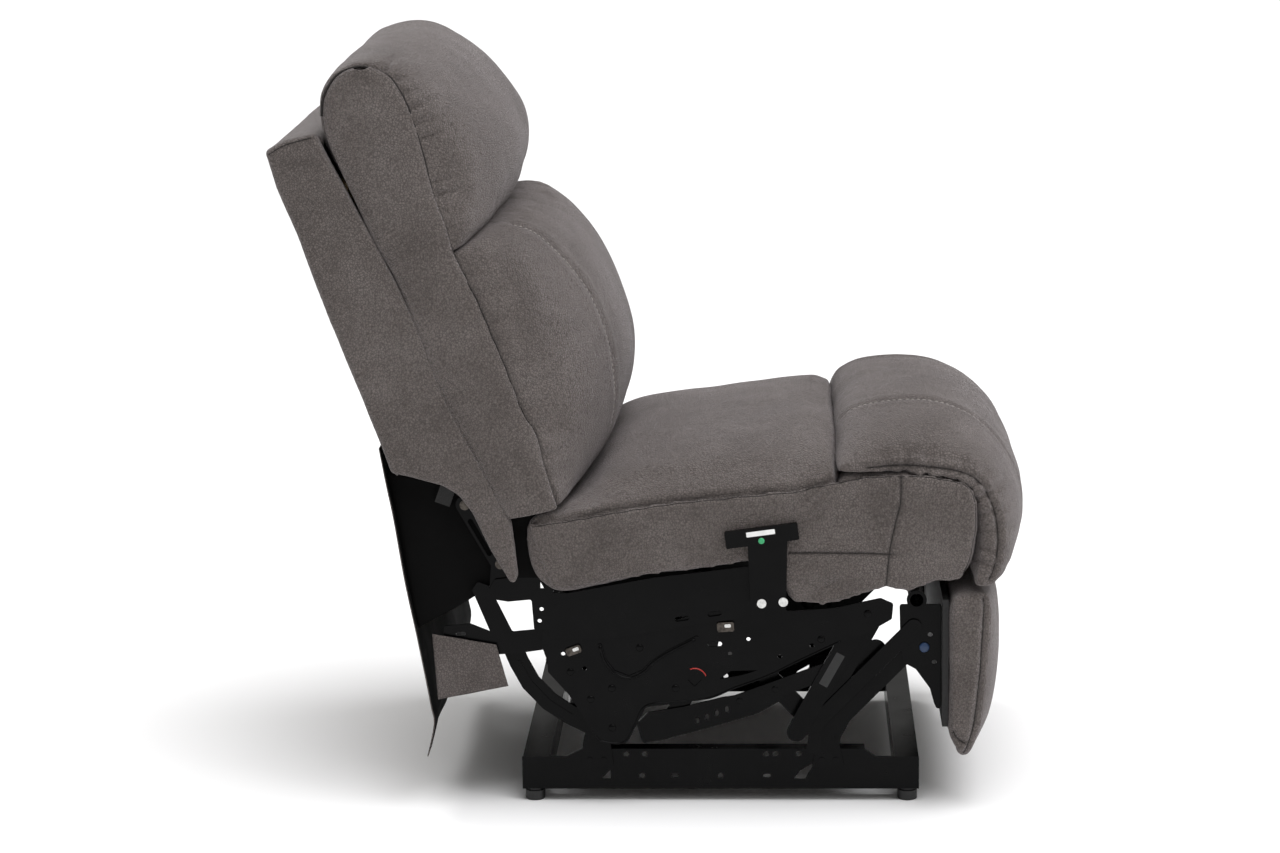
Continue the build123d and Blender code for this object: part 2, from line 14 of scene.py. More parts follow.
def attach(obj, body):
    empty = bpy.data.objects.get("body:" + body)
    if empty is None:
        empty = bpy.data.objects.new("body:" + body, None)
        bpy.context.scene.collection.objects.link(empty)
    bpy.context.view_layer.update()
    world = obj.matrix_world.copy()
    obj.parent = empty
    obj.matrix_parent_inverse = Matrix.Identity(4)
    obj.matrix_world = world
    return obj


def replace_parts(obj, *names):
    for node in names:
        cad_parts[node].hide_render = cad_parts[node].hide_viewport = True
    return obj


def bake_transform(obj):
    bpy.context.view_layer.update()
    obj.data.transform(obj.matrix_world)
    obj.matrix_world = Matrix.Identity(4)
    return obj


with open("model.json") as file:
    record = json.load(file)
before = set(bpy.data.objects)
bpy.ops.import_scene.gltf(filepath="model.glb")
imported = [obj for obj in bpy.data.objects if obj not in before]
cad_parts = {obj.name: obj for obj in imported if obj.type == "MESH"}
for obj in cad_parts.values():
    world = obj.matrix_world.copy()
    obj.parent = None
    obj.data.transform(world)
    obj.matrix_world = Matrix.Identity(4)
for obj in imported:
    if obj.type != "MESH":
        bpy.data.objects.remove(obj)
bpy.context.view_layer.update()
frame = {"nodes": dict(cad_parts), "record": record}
MM = 0.001

# ---------------------------------------------------------------- camera and light
CAMERA_AT = (0.1761, -4.9853, 1.5213)      # metres
CAMERA_LENS = 97.2
CAMERA_PITCH = math.radians(11.65)
CAMERA_YAW = math.radians(2.34)
CAMERA_ROLL = math.radians(0.70)

WORLD_COLOUR = (1.0, 0.985, 0.96, 1)
WORLD_STRENGTH = 0.36
SUN_ENERGY = 3.15
SUN_COLOUR = (0.985, 0.985, 1.0)
SUN_SPREAD = math.radians(50)
SUN_FROM = (0.24, -0.22, 1.0)
FLOOR_REACH = 400.0


def add_camera():
    """Camera at the viewing angle of the photograph."""
    data = bpy.data.cameras.new("camera")
    data.lens = CAMERA_LENS
    data.sensor_width = 36.0
    camera = bpy.data.objects.new("camera", data)
    look = Vector((-math.sin(CAMERA_YAW) * math.cos(CAMERA_PITCH),
                   math.cos(CAMERA_YAW) * math.cos(CAMERA_PITCH), -math.sin(CAMERA_PITCH)))
    level = Vector((math.cos(CAMERA_YAW), math.sin(CAMERA_YAW), 0))
    rise = level.cross(look)
    right = level * math.cos(CAMERA_ROLL) - rise * math.sin(CAMERA_ROLL)
    up = level * math.sin(CAMERA_ROLL) + rise * math.cos(CAMERA_ROLL)
    turn = Matrix((right, up, -look)).transposed().to_4x4()
    camera.matrix_world = Matrix.Translation(CAMERA_AT) @ turn
    bpy.context.scene.collection.objects.link(camera)
    bpy.context.scene.camera = camera


def area_light(name, at, target, size, power):
    """Soft rectangular lamp aimed at a point."""
    data = bpy.data.lights.new(name, "AREA")
    data.shape = "RECTANGLE"
    data.size = size[0]
    data.size_y = size[1]
    data.energy = power
    lamp = bpy.data.objects.new(name, data)
    lamp.location = at
    lamp.rotation_euler = (Vector(target) - Vector(at)).to_track_quat("-Z", "Y").to_euler()
    bpy.context.scene.collection.objects.link(lamp)


def add_studio():
    """Wide white floor, pale world, one very soft overhead sun and two soft boxes."""
    scene = bpy.context.scene
    scene.view_settings.view_transform = "Standard"
    world = bpy.data.worlds.new("studio")
    scene.world = world
    world.use_nodes = True
    background = world.node_tree.nodes["Background"]
    background.inputs["Color"].default_value = WORLD_COLOUR
    background.inputs["Strength"].default_value = WORLD_STRENGTH
    sun = bpy.data.lights.new("overhead", "SUN")
    sun.energy = SUN_ENERGY
    sun.color = SUN_COLOUR
    sun.angle = SUN_SPREAD
    lamp = bpy.data.objects.new("overhead", sun)
    lamp.rotation_euler = Vector(SUN_FROM).to_track_quat("Z", "Y").to_euler()
    scene.collection.objects.link(lamp)
    area_light("front", (3.2, -2.4, 1.7), (0, 0, 0.5), (0.6, 1.0), 18)
    area_light("rim", (-1.4, 1.8, 2.6), (0, 0, 0.7), (1.2, 0.8), 24)
    mesh = bpy.data.meshes.new("floor")
    corners = [(u * FLOOR_REACH, v * FLOOR_REACH, 0) for u, v in ((-1, -1), (1, -1), (1, 1), (-1, 1))]
    mesh.from_pydata(corners, [], [(0, 1, 2, 3)])
    floor = bpy.data.objects.new("floor", mesh)
    scene.collection.objects.link(floor)
    material = bpy.data.materials.new("floor_white")
    material.use_nodes = True
    shader = material.node_tree.nodes["Principled BSDF"]
    shader.inputs["Base Color"].default_value = (0.93, 0.93, 0.93, 1)
    shader.inputs["Roughness"].default_value = 0.6
    mesh.materials.append(material)


add_camera()
add_studio()


# ---------------------------------------------------------------- materials
class Nodes:
    """Small helper that adds and links shader nodes of one material."""

    def __init__(self, name):
        self.material = bpy.data.materials.new(name)
        self.material.use_nodes = True
        self.tree = self.material.node_tree
        self.shader = self.tree.nodes["Principled BSDF"]
        self.place = self.add("ShaderNodeTexCoord").outputs["Object"]

    def add(self, kind, **values):
        """A node with the given properties and input values."""
        node = self.tree.nodes.new(kind)
        for key, value in values.items():
            if key in node.inputs:
                node.inputs[key].default_value = value
            else:
                setattr(node, key, value)
        return node

    def link(self, source, target):
        self.tree.links.new(source, target)

    def noise(self, scale, detail=4.0, roughness=0.55, distortion=0.0, stretch=None):
        """Noise texture in object space, its scale in features per metre."""
        node = self.add("ShaderNodeTexNoise", Scale=scale, Detail=detail, Roughness=roughness,
                        Distortion=distortion)
        if stretch:
            mapping = self.add("ShaderNodeMapping")
            mapping.inputs["Scale"].default_value = stretch
            self.link(self.place, mapping.inputs["Vector"])
            self.link(mapping.outputs["Vector"], node.inputs["Vector"])
        else:
            self.link(self.place, node.inputs["Vector"])
        return node.outputs["Fac"]

    def cells(self, scale, feature="F1"):
        """Distance within a pattern of cells, so many per metre."""
        node = self.add("ShaderNodeTexVoronoi", feature=feature, Scale=scale)
        self.link(self.place, node.inputs["Vector"])
        return node.outputs["Distance"]

    def remap(self, value, low, high, to_low, to_high):
        """The value's range low..high carried over to to_low..to_high."""
        node = self.add("ShaderNodeMapRange")
        limits = {"From Min": low, "From Max": high, "To Min": to_low, "To Max": to_high}
        for key, number in limits.items():
            node.inputs[key].default_value = number
        self.link(value, node.inputs["Value"])
        return node.outputs["Result"]

    def math(self, operation, first, second):
        """Arithmetic on two outputs or numbers."""
        node = self.add("ShaderNodeMath", operation=operation)
        for socket, value in zip(node.inputs, (first, second)):
            if isinstance(value, (int, float)):
                socket.default_value = value
            else:
                self.link(value, socket)
        return node.outputs["Value"]

    def ramp(self, value, *stops):
        """Colour ramp; each stop is (position, colour)."""
        node = self.add("ShaderNodeValToRGB")
        ramp = node.color_ramp
        while len(ramp.elements) < len(stops):
            ramp.elements.new(0.5)
        for element, (position, colour) in zip(ramp.elements, stops):
            element.position = position
            element.color = (*colour, 1)
        self.link(value, node.inputs["Fac"])
        return node.outputs["Color"]

    def tint(self, colour, factor, towards):
        """Mixes a colour output towards a constant colour by a factor output."""
        node = self.add("ShaderNodeMix", data_type="RGBA")
        self.link(factor, node.inputs["Factor"])
        self.link(colour, node.inputs[6])
        node.inputs[7].default_value = (*towards, 1)
        return node.outputs[2]

    def bump(self, height, strength, distance, under=None):
        node = self.add("ShaderNodeBump", Strength=strength, Distance=distance)
        self.link(height, node.inputs["Height"])
        if under:
            self.link(under, node.inputs["Normal"])
        return node.outputs["Normal"]

    def attribute(self, name):
        node = self.add("ShaderNodeAttribute", attribute_name=name)
        return node.outputs["Fac"]


def suede(name, base, lighter, darker, sheen=0.30):
    """Pebbled, brushed faux leather: small cells with painted shade in their valleys and lighter specks on
    their crowns, partly wear and partly painted highlight; soft cloudy shade; painted shade in the valleys
    at the seams.
    """
    m = Nodes(name)
    warp = m.noise(90, 3, 0.6)
    clouds = m.noise(8, 5, 0.62, 0.6)
    patches = m.noise(36, 4, 0.6, 0.3)
    pebbles = m.cells(300, "DISTANCE_TO_EDGE")
    wear_and_highlight_specks = m.cells(240)
    colour = m.ramp(clouds, (0.30, darker), (0.5, base), (0.72, lighter))
    colour = m.tint(colour, m.remap(patches, 0.45, 0.75, 0.0, 0.35), lighter)
    # painted shade: darker colour in the valleys between the pebbles, where the grain bump sinks
    colour = m.tint(colour, m.remap(pebbles, 0.0, 0.20, 0.72, 0.0), [c * 0.45 for c in darker])
    # lighter specks on the cell crowns: partly wear, partly painted highlight
    colour = m.tint(colour, m.remap(wear_and_highlight_specks, 0.1, 0.5, 0.30, 0.0), [c * 1.45 for c in lighter])
    # painted shade: darker colour towards the seam grooves, by the seam attribute
    colour = m.tint(colour, m.math("MULTIPLY", m.attribute("seam"), 0.8), [c * 0.25 for c in darker])
    m.link(colour, m.shader.inputs["Base Color"])
    m.link(m.remap(patches, 0.3, 0.7, 0.58, 0.78), m.shader.inputs["Roughness"])
    grain = m.bump(m.math("ADD", m.remap(pebbles, 0.0, 0.2, 0.0, 1.0), warp), 0.9, 0.0012)
    grain = m.bump(patches, 0.3, 0.0014, grain)
    m.link(grain, m.shader.inputs["Normal"])
    m.shader.inputs["Sheen Weight"].default_value = sheen
    m.shader.inputs["Sheen Tint"].default_value = (1.0, 0.94, 0.97, 1)
    m.shader.inputs["Sheen Roughness"].default_value = 0.38
    m.shader.inputs["Specular IOR Level"].default_value = 0.30
    return m.material


def painted_steel():
    """Black stoving paint: slight orange peel, dusty patches and rubbed spots."""
    m = Nodes("black_paint")
    dust = m.noise(22, 5, 0.65)
    peel = m.noise(900, 2, 0.5)
    scuffs = m.noise(60, 6, 0.7, 0.4, (1, 1, 3))
    colour = m.ramp(dust, (0.4, (0.0010, 0.0010, 0.0011)), (0.75, (0.0028, 0.0028, 0.0029)))
    colour = m.tint(colour, m.remap(scuffs, 0.68, 0.84, 0.0, 0.3), (0.018, 0.018, 0.018))
    m.link(colour, m.shader.inputs["Base Color"])
    m.link(m.remap(dust, 0.3, 0.75, 0.16, 0.30), m.shader.inputs["Roughness"])
    m.link(m.bump(peel, 0.12, 0.0003), m.shader.inputs["Normal"])
    m.shader.inputs["Specular IOR Level"].default_value = 0.09
    return m.material


def zinc_plate(name, dark, bright):
    """Plated metal with a fine spangle."""
    m = Nodes(name)
    spangle = m.cells(240)
    haze = m.noise(120, 4, 0.6)
    colour = m.ramp(spangle, (0.0, dark), (0.8, bright))
    m.link(colour, m.shader.inputs["Base Color"])
    m.link(m.remap(haze, 0.3, 0.7, 0.24, 0.42), m.shader.inputs["Roughness"])
    m.link(m.bump(haze, 0.15, 0.0003), m.shader.inputs["Normal"])
    m.shader.inputs["Metallic"].default_value = 1.0
    return m.material


def moulded_plastic(name, colour, roughness=0.5, texture=700, specular=0.5):
    """Plain moulded surface with a fine grain and slightly uneven tone."""
    m = Nodes(name)
    grain = m.noise(texture, 3, 0.5)
    tone = m.noise(30, 4, 0.6)
    shade = m.ramp(tone, (0.3, [c * 0.8 for c in colour]), (0.7, [min(1, c * 1.2) for c in colour]))
    m.link(shade, m.shader.inputs["Base Color"])
    m.link(m.remap(tone, 0.3, 0.7, roughness - 0.08, roughness + 0.08), m.shader.inputs["Roughness"])
    m.link(m.bump(grain, 0.2, 0.0003), m.shader.inputs["Normal"])
    m.shader.inputs["Specular IOR Level"].default_value = specular
    return m.material


def sawn_wood(name, light, dark):
    """Plain sawn board with rings and fibres along its width."""
    m = Nodes(name)
    rings = m.noise(14, 5, 0.6, 0.5, (6, 0.5, 6))
    fibres = m.noise(160, 4, 0.6, 0.2, (3, 0.15, 3))
    colour = m.ramp(rings, (0.3, dark), (0.7, light))
    colour = m.tint(colour, m.remap(fibres, 0.5, 0.8, 0.0, 0.4), [c * 0.6 for c in dark])
    m.link(colour, m.shader.inputs["Base Color"])
    m.link(m.remap(fibres, 0.3, 0.7, 0.6, 0.8), m.shader.inputs["Roughness"])
    m.link(m.bump(fibres, 0.3, 0.0005), m.shader.inputs["Normal"])
    return m.material


def thread_material(name, colour):
    """Twisted sewing thread."""
    m = Nodes(name)
    twist = m.noise(1500, 2, 0.5)
    shade = m.ramp(twist, (0.3, [c * 0.7 for c in colour]), (0.7, colour))
    m.link(shade, m.shader.inputs["Base Color"])
    m.shader.inputs["Roughness"].default_value = 0.6
    m.link(m.bump(twist, 0.4, 0.0002), m.shader.inputs["Normal"])
    return m.material


COVER = suede("cover_suede", (0.117, 0.099, 0.091), (0.160, 0.139, 0.131), (0.080, 0.066, 0.060))
SKIRT = suede("skirt_cloth", (0.112, 0.095, 0.089), (0.142, 0.122, 0.116), (0.084, 0.070, 0.065), 0.04)
# near-black lines laid in the seam grooves: painted shade of the seam crevices
SHADE_CORD = suede("seam_shade_cord", (0.026, 0.022, 0.021), (0.04, 0.035, 0.033), (0.018, 0.015, 0.014), 0.0)
# near-black sheet material: painted shade in slits and inside the chair
SHADE_SHEET = moulded_plastic("painted_shade_sheet", (0.0025, 0.0024, 0.0024), 0.9, 400, 0.1)
LABEL = moulded_plastic("blank_label", (0.72, 0.73, 0.72), 0.45)
GREEN_DOT = moulded_plastic("green_dot", (0.03, 0.34, 0.13), 0.4)
BLUE_CAP = moulded_plastic("blue_cap", (0.008, 0.03, 0.085), 0.4)
RED_RING = moulded_plastic("red_ring", (0.36, 0.02, 0.015), 0.4)
STEEL = painted_steel()
ZINC = zinc_plate("zinc", (0.52, 0.53, 0.52), (0.72, 0.72, 0.7))
DULL_ZINC = zinc_plate("dull_zinc", (0.030, 0.027, 0.024), (0.085, 0.075, 0.066))
BLACK_PLASTIC = moulded_plastic("black_plastic", (0.006, 0.006, 0.006), 0.45)
MOTOR_PLASTIC = moulded_plastic("motor_plastic", (0.008, 0.008, 0.009), 0.5)
WOOD = sawn_wood("plywood", (0.45, 0.32, 0.19), (0.26, 0.17, 0.09))
# near-black board for the record's black_board slot on the lower back rail: painted shade in the gap
# between the wing bottom and the skirt
SHADE_BOARD = sawn_wood("black_board", (0.007, 0.006, 0.006), (0.003, 0.003, 0.003))
THREAD = thread_material("stitch_thread", (0.42, 0.385, 0.36))

NODE_MATERIAL = {"black_steel": STEEL, "zinc_steel": ZINC, "black_plastic": BLACK_PLASTIC,
                 "motor_plastic": MOTOR_PLASTIC, "frame_wood": WOOD, "black_board": SHADE_BOARD,
                 "upholstery": COVER, "skirt_cloth": SKIRT}


HARD_SLOTS = ("black_steel", "zinc_steel", "black_plastic", "motor_plastic")


def dress_cad_nodes():
    """Gives every CAD node its material, and those of the hard slots a small bevel that catches the light.
    """
    for part in frame["record"]["subparts"]:
        node = frame["nodes"][part["node"]]
        material = NODE_MATERIAL[part["material_slot"]]
        if part["node"] == "back_bolts":
            material = DULL_ZINC
        for slot in node.material_slots:
            slot.material = material
        if part["material_slot"] in HARD_SLOTS:
            bevel = node.modifiers.new("edge", "BEVEL")
            bevel.width = 0.0008
            bevel.segments = 2
            bevel.limit_method = "ANGLE"
            bevel.angle_limit = math.radians(50)


# ---------------------------------------------------------------- curves and meshes
def through(points, steps, closed=False):
    """Points on a smooth curve through the given ones, as many as steps on each stretch."""
    count = len(points)
    result = []
    stretches = count if closed else count - 1
    for i in range(stretches):
        if closed:
            p = [Vector(points[(i + k) % count]) for k in (-1, 0, 1, 2)]
        else:
            p = [Vector(points[min(max(i + k, 0), count - 1)]) for k in (-1, 0, 1, 2)]
        for j in range(steps):
            t = j / steps
            result.append(0.5 * (2 * p[1] + (p[2] - p[0]) * t
                                 + (2 * p[0] - 5 * p[1] + 4 * p[2] - p[3]) * t * t
                                 + (3 * p[1] - p[0] - 3 * p[2] + p[3]) * t ** 3))
    if not closed:
        result.append(Vector(points[-1]))
    return result


def resample(points, count):
    """The polyline's points moved to equal spacing."""
    lengths = [0.0]
    for a, b in zip(points, points[1:]):
        lengths.append(lengths[-1] + (b - a).length)
    result = []
    k = 0
    for i in range(count):
        target = lengths[-1] * i / (count - 1)
        while k < len(points) - 2 and lengths[k + 1] < target:
            k += 1
        span = max(lengths[k + 1] - lengths[k], 1e-9)
        result.append(points[k].lerp(points[k + 1], (target - lengths[k]) / span))
    return result


def evenly(points, count, steps=6):
    """Equally spaced points on a smooth curve through (x, z) points, in millimetres."""
    return resample(through([Vector((x, 0, z)) for x, z in points], steps), count)


def grid_faces(rows, columns):
    """Quads of a sheet whose points run row by row."""
    faces = []
    for i in range(rows - 1):
        for j in range(columns - 1):
            k = i * columns + j
            faces.append((k, k + 1, k + columns + 1, k + columns))
    return faces


def ring_faces(base, rings, count):
    """Quads of a tube whose points run ring by ring."""
    faces = []
    for j in range(rings - 1):
        for r in range(count):
            q = (r + 1) % count
            faces.append((base + j * count + r, base + j * count + q,
                          base + (j + 1) * count + q, base + (j + 1) * count + r))
    return faces


def sided(name, side):
    """The piece's name with its side of the chair."""
    return name + ("_right" if side < 0 else "_left")


def make_object(name, vertices, faces, material):
    """Smooth-shaded mesh object in the scene."""
    mesh = bpy.data.meshes.new(name)
    mesh.from_pydata([tuple(v) for v in vertices], [], faces)
    mesh.validate()
    obj = bpy.data.objects.new(name, mesh)
    bpy.context.scene.collection.objects.link(obj)
    mesh.materials.append(material)
    mesh.shade_smooth()
    return obj


def apply_modifiers(obj):
    """Replaces the object's mesh by its evaluated one."""
    graph = bpy.context.evaluated_depsgraph_get()
    mesh = bpy.data.meshes.new_from_object(obj.evaluated_get(graph))
    obj.modifiers.clear()
    old = obj.data
    obj.data = mesh
    bpy.data.meshes.remove(old)
    mesh.shade_smooth()


def subdivide(obj):
    obj.modifiers.new("smooth", "SUBSURF").levels = 1
    apply_modifiers(obj)


ROW_STEPS = 3                 # points on each stretch between two rows
ACROSS = 26                   # stretches over a cushion's width


def cushion_mesh(name, rows, half_width, crown=(2.3, 0.5), side_bulge=0.0):
    """Closed cushion lofted over its width.

    Each row is (side x, side z, middle x, middle z) in millimetres, in order round the section.
    The section at y lies between the side one and the middle one, by a crown curve.
    """
    side = through([Vector((r[0], 0, r[1])) for r in rows], ROW_STEPS, closed=True)
    middle = through([Vector((r[2], 0, r[3])) for r in rows], ROW_STEPS, closed=True)
    around = len(side)
    power, root = crown
    vertices = []
    for j in range(ACROSS + 1):
        t = -math.cos(math.pi * j / ACROSS)
        rise = max(0.0, 1 - abs(t) ** power) ** root
        for a, b in zip(side, middle):
            point = a.lerp(b, rise)
            point.y = t * half_width
            vertices.append(point * MM)
    obj = make_object(name, vertices, ring_faces(0, ACROSS + 1, around), COVER)
    close_ends(obj, side_bulge)
    return obj


def close_ends(obj, side_bulge):
    """Fills both ends of a lofted cushion with slightly domed panels."""
    mesh = bmesh.new()
    mesh.from_mesh(obj.data)
    edges = [e for e in mesh.edges if e.is_boundary]
    bmesh.ops.holes_fill(mesh, edges=edges, sides=0)
    caps = [f for f in mesh.faces if len(f.verts) > 4]
    for cap in caps:
        sign = 1 if cap.calc_center_median().y > 0 else -1
        bmesh.ops.inset_region(mesh, faces=[cap], thickness=0.014, depth=0, use_even_offset=True)
        for vertex in cap.verts:
            vertex.co.y += sign * side_bulge * MM
    bmesh.ops.triangulate(mesh, faces=[f for f in mesh.faces if len(f.verts) > 4])
    bmesh.ops.recalc_face_normals(mesh, faces=mesh.faces)
    mesh.to_mesh(obj.data)
    mesh.free()


def remesh(obj, voxel):
    """Even mesh of the given cell size, with the same shape."""
    modifier = obj.modifiers.new("remesh", "REMESH")
    modifier.mode = "VOXEL"
    modifier.voxel_size = voxel
    apply_modifiers(obj)


def surface(obj):
    """Positions and normals of the object's vertices, as arrays."""
    count = len(obj.data.vertices)
    places = numpy.empty(count * 3)
    normals = numpy.empty(count * 3)
    obj.data.vertices.foreach_get("co", places)
    obj.data.vertices.foreach_get("normal", normals)
    return places.reshape(-1, 3), normals.reshape(-1, 3)


def reshape(obj, places):
    """Writes new positions back to the object's vertices."""
    obj.data.vertices.foreach_set("co", numpy.asarray(places).ravel())
    obj.data.update()


INFLATE_PRESSURE = 4.0
INFLATE_FRAMES = 14


def inflate(obj, cap):
    """Puffs the cushion with cloth simulation and caps how far any point moves."""
    rest, _ = surface(obj)
    cloth = obj.modifiers.new("cloth", "CLOTH")
    settings = cloth.settings
    settings.quality = 3
    settings.mass = 0.4
    settings.use_pressure = True
    settings.uniform_pressure_force = INFLATE_PRESSURE
    settings.effector_weights.gravity = 0.0
    settings.tension_stiffness = 30
    settings.compression_stiffness = 30
    settings.shear_stiffness = 12
    settings.bending_stiffness = 2.0
    cloth.collision_settings.use_collision = False
    cloth.point_cache.frame_start = 1
    cloth.point_cache.frame_end = INFLATE_FRAMES
    scene = bpy.context.scene
    for number in range(1, INFLATE_FRAMES + 1):
        scene.frame_set(number)
    graph = bpy.context.evaluated_depsgraph_get()
    after = numpy.empty(len(obj.data.vertices) * 3)
    obj.evaluated_get(graph).data.vertices.foreach_get("co", after)
    obj.modifiers.remove(cloth)
    scene.frame_set(1)
    shift = after.reshape(-1, 3) - rest
    length = numpy.maximum(numpy.linalg.norm(shift, axis=1), 1e-9)
    shift *= numpy.minimum(1.0, cap / length)[:, None]
    reshape(obj, rest + shift)


class Path:
    """A line on the object, for seams, gathers and stitches."""

    def __init__(self, points, spacing=0.002):
        smooth = through(points, 12)
        length = sum((b - a).length for a, b in zip(smooth, smooth[1:]))
        self.points = resample(smooth, max(3, int(length / spacing)))
        self.step = length / (len(self.points) - 1)
        self.length = length

    def tree(self):
        tree = KDTree(len(self.points))
        for i, point in enumerate(self.points):
            tree.insert(point, i)
        tree.balance()
        return tree

    def moved(self, points):
        """A path of the same spacing through other points."""
        path = copy(self)
        path.points = points
        return path

    def mirrored(self):
        return self.moved([Vector((p.x, -p.y, p.z)) for p in self.points])

    def smoothed(self, reach=4):
        """Evens out small kinks by averaging neighbouring points."""
        count = len(self.points)
        points = []
        for i in range(count):
            span = min(reach, i, count - 1 - i)
            near = self.points[i - span:i + span + 1]
            points.append(sum(near, Vector()) / len(near))
        return self.moved(points)


def line(points, y=None):
    """Path through (x, z) points in millimetres on the plane y, or through (x, y, z) points."""
    if y is None:
        return Path([Vector(p) * MM for p in points])
    return Path([Vector((p[0], y, p[1])) * MM for p in points])


def snap(obj, path, lift=0.0):
    """The path moved onto the object's surface."""
    tree = BVHTree.FromObject(obj, bpy.context.evaluated_depsgraph_get())
    points = []
    for point in path.points:
        place, normal, _, _ = tree.find_nearest(point)
        points.append(place + normal * lift)
    return path.moved(points)


def distances(places, path, reach):
    """Distance of each place to the path and the index of the path point nearest to it."""
    tree = path.tree()
    low = numpy.min([tuple(p) for p in path.points], axis=0) - reach
    high = numpy.max([tuple(p) for p in path.points], axis=0) + reach
    near = numpy.nonzero(numpy.all((places > low) & (places < high), axis=1))[0]
    away = numpy.full(len(places), 1.0)
    index = numpy.zeros(len(places), dtype=int)
    for i in near:
        _, index[i], away[i] = tree.find(places[i])
    return away, index


SEAM_SHADE = 0.0022           # reach of the dark shade beside a seam, metres


def seam_groove(obj, paths, width=0.0035, depth=0.0022, ridge=0.0012):
    """Presses a seam into the surface, with a soft ridge on both sides, and marks it for the shade."""
    mesh = obj.data
    if "seam" not in mesh.attributes:
        mesh.attributes.new("seam", "FLOAT", "POINT")
    places, normals = surface(obj)
    marks = numpy.empty(len(places))
    mesh.attributes["seam"].data.foreach_get("value", marks)
    away = numpy.min([distances(places, path, 6 * width)[0] for path in paths], axis=0)
    u = away / width
    shift = ridge * numpy.exp(-((u - 2.6) / 1.3) ** 2) - depth * numpy.exp(-u * u)
    marks = numpy.maximum(marks, numpy.exp(-(away / SEAM_SHADE) ** 2))
    mesh.attributes["seam"].data.foreach_set("value", marks)
    reshape(obj, places + normals * shift[:, None])


def gathers(obj, path, spacing, depth, reach, seed, side):
    """Narrow puckers that run off a seam, uneven in spacing and depth, and fade with distance.

    The side, -1 or 1, keeps them to that half of the object.
    """
    places, normals = surface(obj)
    away, index = distances(places, path, reach)
    shift = numpy.zeros(len(places))
    last = len(path.points) - 1
    for i in numpy.nonzero(away < reach)[0]:
        if side * places[i][1] < 0:
            continue
        s = index[i] * path.step
        drift = 2.4 * noise.noise(Vector((s / spacing * 0.45, seed, 0))) + 9 * away[i]
        share = 0.55 + 0.9 * noise.noise(Vector((s / spacing * 0.8, seed + 5, 0.5)))
        valley = (0.5 + 0.5 * math.cos(2 * math.pi * s / spacing + drift)) ** 2
        length = reach * (0.45 + 0.55 * max(0.0, share))
        if away[i] > length:
            continue
        ends = min(1.0, index[i] / 14, (last - index[i]) / 14)
        fade = (1 - away[i] / length) ** 1.5 * min(1.0, away[i] / 0.005)
        shift[i] = depth * max(0.0, share) * ends * fade * (0.35 - valley)
    reshape(obj, places + normals * shift[:, None])


def gather_sides(obj, path, spacing, depth, reach, seeds):
    """Gathers along a right-hand path and along its mirror image, each with its own seed."""
    gathers(obj, path, spacing, depth, reach, seeds[0], -1)
    gathers(obj, path.mirrored(), spacing, depth, reach, seeds[1], 1)


def rumple(obj, height, size, seed=0.0):
    """Broad, soft unevenness of stuffed fabric."""
    places, normals = surface(obj)
    shift = numpy.empty(len(places))
    for i, (x, y, z) in enumerate(places / size):
        place = Vector((x + seed, y, z))
        shift[i] = height * (noise.noise(place) + 0.45 * noise.noise(place * 2.3))
    reshape(obj, places + normals * shift[:, None])


STITCH_PITCH = 0.0085
STITCH_LENGTH = 0.0060
STITCH_RADIUS = 0.0008
STITCH_RING = 5
STITCH_PROFILE = ((0.0, 0.15, -0.9), (0.18, 0.85, 0.0), (0.5, 1.0, 0.35), (0.82, 0.85, 0.0),
                  (1.0, 0.15, -0.9))


def stitches(name, paths, obj):
    """A row of separate thread stitches that lie on the surface along the paths.

    The profile gives each stitch's (share of its length, thickness, lift off the surface).
    """
    vertices = []
    faces = []
    for path in paths:
        place = snap(obj, path, STITCH_RADIUS * 0.35)
        tree = BVHTree.FromObject(obj, bpy.context.evaluated_depsgraph_get())
        for k in range(int(path.length / STITCH_PITCH)):
            s = (k + 0.5) * STITCH_PITCH
            low = min(int((s - STITCH_LENGTH / 2) / path.step), len(place.points) - 2)
            high = min(int((s + STITCH_LENGTH / 2) / path.step), len(place.points) - 1)
            start, end = place.points[max(low, 0)], place.points[max(high, 1)]
            along = (end - start).normalized()
            normal = tree.find_nearest((start + end) / 2)[1]
            side = along.cross(normal).normalized()
            faces += ring_faces(len(vertices), len(STITCH_PROFILE), STITCH_RING)
            for u, size, lift in STITCH_PROFILE:
                centre = start.lerp(end, u) + normal * (STITCH_RADIUS * lift)
                for r in range(STITCH_RING):
                    angle = 2 * math.pi * r / STITCH_RING
                    spoke = side * math.cos(angle) + normal * math.sin(angle)
                    vertices.append(centre + spoke * STITCH_RADIUS * size)
    piece = make_object(name, vertices, faces, THREAD)
    return piece


def tube(name, paths, radius, material):
    """Thin round cord along each path, as one object."""
    vertices = []
    faces = []
    ring = 6
    for path in paths:
        points = path.points[::2]
        base = len(vertices)
        previous = Vector((0.1, 1, 0.05))
        for i, point in enumerate(points):
            along = (points[min(i + 1, len(points) - 1)] - points[max(i - 1, 0)]).normalized()
            side = (previous - along * previous.dot(along)).normalized()
            previous = side
            up = along.cross(side)
            for r in range(ring):
                angle = 2 * math.pi * r / ring
                vertices.append(point + (side * math.cos(angle) + up * math.sin(angle)) * radius)
        faces += ring_faces(base, len(points), ring)
        faces.append(tuple(range(base, base + ring))[::-1])
        last = base + (len(points) - 1) * ring
        faces.append(tuple(range(last, last + ring)))
    return make_object(name, vertices, faces, material)


def seam_shade_cords(name, obj, paths, radius=0.0009):
    """Dark lines that lie in the grooves: painted shade of the seam crevices."""
    lines = [snap(obj, path, -radius * 0.2).smoothed() for path in paths]
    piece = tube(name, lines, radius, SHADE_CORD)
    return piece


